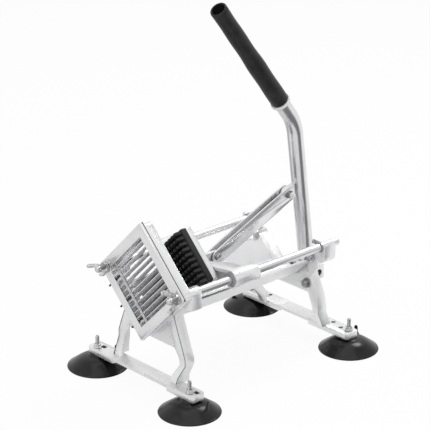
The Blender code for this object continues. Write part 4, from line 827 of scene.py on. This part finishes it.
def make_creases():
    """A painted shadow line: a thin dark tube along the front edge of each front leg."""
    for side, sign in SIDES:
        points = [Vector((sign * x, y, z)) for x, y, z in CREASE_LINE]
        rings = []
        for index, point in enumerate(points):
            way = way_along(points, index)
            first = (TO_REAR - way * way.y).normalized()
            rings.append(ring_of(point, first, way.cross(first), CREASE_RADIUS, CREASE_SIDES))
        shape = bmesh.new()
        add_rings(shape, rings)
        add_piece(f"leg_crease_shadow_{side}", shape, PAINTED_CREASE_SHADOW, "machine")


# Section of a blade as (y, place across it), and half its length
BLADE_SECTION = (
    (-136.2, -0.34), (-135.6, -0.42), (-124.0, -0.35), (-124.0, 0.35), (-135.6, 0.42), (-136.2, 0.34),
)
BLADE_HALF_LENGTH = 42.45
BLADE_PLACES = range(-5, 6)
BLADE_SHARP = math.radians(10)


def make_blades():
    """Blades as deep as the photo shows them, each with a bevelled front edge."""
    shape = bmesh.new()
    for place in BLADE_PLACES:
        centre = MIDDLE + EDGE_DOWN * BLADE_PITCH * place
        section = [centre + EDGE_DOWN * aside + TO_REAR * y for y, aside in BLADE_SECTION]
        ends = (-BLADE_HALF_LENGTH, BLADE_HALF_LENGTH)
        add_rings(shape, [[point + EDGE_UP * end for point in section] for end in ends])
    start = "blade_"
    names = [name for name in NODES if name.startswith(start) and name[len(start):].isdigit()]
    add_piece("blade_set", shape, BLADE, "machine", names, BLADE_SHARP)


# Washer, nut and end of the bolt at the link's rear pin, from the lever's middle towards the near side
WASHER_X = 6.2
WASHER_PROFILE = ((0, 3.0), (0, 5.2), (1.4, 5.2), (1.4, 4.4), (3.4, 4.2), (3.4, 3.0))
WASHER_SIDES = 32
NUT_RADIUS = 4.5
NUT_SIDES = 6
NUT_TURN = 0.3
NUT_SECTIONS = ((9.6, 0.4), (10.0, 0), (12.8, 0), (13.4, 0.6))
BOLT_TIP_X = 13.0
BOLT_TIP_PROFILE = ((0, 2.4), (1.6, 2.4), (2.0, 1.9), (2.0, 0.2))
BOLT_TIP_SIDES = 24
NUT_SHARP = math.radians(20)


def hexagon(centre, radius):
    """Corners of a hexagon across the X axis."""
    turns = [math.tau * step / NUT_SIDES + NUT_TURN for step in range(NUT_SIDES)]
    return [centre + Vector((0, math.cos(turn) * radius, math.sin(turn) * radius)) for turn in turns]


def make_link_bolt():
    """Bolt and nut at the link's rear pin: a grey washer, a bright nut and the bolt's end."""
    pin = in_plane(0, LINK_PIN)
    shape = bmesh.new()
    add_turned(shape, pin + TO_NEAR * WASHER_X, TO_NEAR, WASHER_PROFILE, WASHER_SIDES, closed=True)
    add_piece("link_bolt_washer", shape, STEEL_GREY, "lever", ("link_rear_bolt",))
    shape = bmesh.new()
    add_rings(shape, [hexagon(pin + TO_NEAR * along, NUT_RADIUS - inset) for along, inset in NUT_SECTIONS])
    add_turned(shape, pin + TO_NEAR * BOLT_TIP_X, TO_NEAR, BOLT_TIP_PROFILE, BOLT_TIP_SIDES)
    add_piece("link_bolt_end", shape, CAST_SMOOTH, "lever", (), NUT_SHARP)


# Painted reflection: grey that only glossy rays see in the floor, by azimuth round the object, as (azimuth in
# degrees, level)
PAINTED_FLOOR_REFLECTIONS = (
    (-125, 1.0), (-100, 0.50), (-72, 0.50), (-56, 0.92), (-30, 0.92), (-10, 0.84), (92, 0.84), (102, 0.14),
    (131, 0.14), (140, 1.0),
)
FLOOR_RADIUS = 6
FLOOR_SIDES = 64
FLOOR_COLOUR = (0.95, 0.95, 0.95, 1)
FLOOR_GLOW_SHARE = 0.93


def make_floor():
    """A white floor that keeps the object's soft shadow, with grey sectors that only glossy rays see: painted
    reflections.
    """
    made, tree = material("floor")
    path = tree.node("ShaderNodeLightPath")
    where = tree.node("ShaderNodeSeparateXYZ", {0: tree.node("ShaderNodeTexCoord").outputs["Object"]})
    turn = tree.math("ARCTAN2", where.outputs["X"], tree.math("MULTIPLY", where.outputs["Y"], -1))
    # Painted reflection: grey sectors by azimuth, shown to glossy rays only.
    painted_reflections = tree.node("ShaderNodeValToRGB", {"Fac": tree.span(turn, (-math.pi, math.pi))})
    ends = painted_reflections.color_ramp.elements
    ends[0].color = ends[1].color = WHITE
    for azimuth, level in PAINTED_FLOOR_REFLECTIONS:
        place = (azimuth / HALF_TURN_DEGREES + 1) * HALF
        ends.new(place).color = (level, level, level, 1)
    tint = tree.blend(path.outputs["Is Glossy Ray"], grey(1), painted_reflections.outputs[0])
    diffuse = tree.node("ShaderNodeBsdfDiffuse", {"Color": FLOOR_COLOUR})
    glow = tree.node("ShaderNodeEmission", {"Color": tint, "Strength": 1.0})
    seen = tree.math("MAXIMUM", path.outputs["Is Camera Ray"], path.outputs["Is Glossy Ray"])
    share = tree.math("MULTIPLY", seen, FLOOR_GLOW_SHARE)
    mix = tree.node("ShaderNodeMixShader", {0: share, 1: diffuse.outputs[0], 2: glow.outputs[0]})
    tree.node("ShaderNodeOutputMaterial", {"Surface": mix.outputs[0]})
    shape = bmesh.new()
    bmesh.ops.create_circle(shape, cap_ends=True, segments=FLOOR_SIDES, radius=FLOOR_RADIUS)
    mesh = bpy.data.meshes.new("floor")
    shape.to_mesh(mesh)
    shape.free()
    mesh.materials.append(made)
    floor = bpy.data.objects.new("floor", mesh)
    SCENE.collection.objects.link(floor)


# Grey of the studio as metal sees it, from the far side at 0 to the near side at 1, and its light on the rest
STUDIO_BANDS = ((0.40, 0.96), (0.56, 0.62), (0.70, 0.98), (0.86, 0.66))
STUDIO_NEAR_END = (0.92, 0.92, 0.92, 1)
STUDIO_LIGHT = {"Color": (0.95, 0.97, 1.0, 1), "Strength": 0.6}


def make_world():
    """White to the camera, and a soft studio of bright and grey areas to light and reflect."""
    world = bpy.data.worlds.new("studio")
    SCENE.world = world
    world.use_nodes = True
    tree = Shader(world.node_tree)
    path = tree.node("ShaderNodeLightPath")
    parts = tree.node("ShaderNodeSeparateXYZ", {0: tree.node("ShaderNodeTexCoord").outputs["Generated"]})
    bands = tree.node("ShaderNodeValToRGB", {"Fac": tree.span(parts.outputs["X"], (-1, 1))})
    bands.color_ramp.interpolation = "EASE"
    bands.color_ramp.elements[0].color = WHITE
    bands.color_ramp.elements[1].color = STUDIO_NEAR_END
    for place, level in STUDIO_BANDS:
        bands.color_ramp.elements.new(place).color = (level, level, level, 1)
    soft = tree.node("ShaderNodeBackground", STUDIO_LIGHT)
    gloss = tree.node("ShaderNodeBackground", {"Color": bands.outputs[0], "Strength": 1.0})
    white = tree.node("ShaderNodeBackground", {"Color": WHITE, "Strength": 1.0})
    glossy = path.outputs["Is Glossy Ray"]
    lit = tree.node("ShaderNodeMixShader", {0: glossy, 1: soft.outputs[0], 2: gloss.outputs[0]})
    seen = tree.math("MAXIMUM", path.outputs["Is Camera Ray"], path.outputs["Is Transmission Ray"])
    final = tree.node("ShaderNodeMixShader", {0: seen, 1: lit.outputs[0], 2: white.outputs[0]})
    tree.node("ShaderNodeOutputWorld", {"Surface": final.outputs[0]})


LAMP_TARGET = Vector((0, 0, 0.15))

# Lamps: name, azimuth and elevation in degrees, distance and size in metres, power, and if metal shows it
LAMPS = (
    ("key_lamp", -5, 42, 1.9, (1.1, 1.1), 5, True),
    ("rear_lamp", 187, 50, 1.7, (0.45, 0.45), 7, True),
    ("top_lamp", 60, 85, 1.8, (1.4, 1.4), 5, True),
    ("side_lamp", 100, 14, 1.9, (1.2, 0.9), 5, False),
)


def make_lamps():
    """Soft lamps: above the front, a small one behind for the highlights, overhead, and at the near side."""
    for name, azimuth, elevation, distance, size, power, glossy in LAMPS:
        data = bpy.data.lights.new(name, "AREA")
        data.shape = "RECTANGLE"
        data.size, data.size_y = size
        data.energy = power
        lamp = bpy.data.objects.new(name, data)
        lamp.visible_glossy = glossy
        aim(lamp, LAMP_TARGET, azimuth, elevation, distance)


make_camera()
make_world()
make_lamps()
make_floor()
for node_name in NODES:
    dress(node_name)
make_lever()
make_cups()
make_rods()
make_wing_nuts()
make_block()
make_bolts()
make_seam()
make_creases()
make_blades()
make_link_bolt()
SCENE.view_settings.view_transform = "Standard"
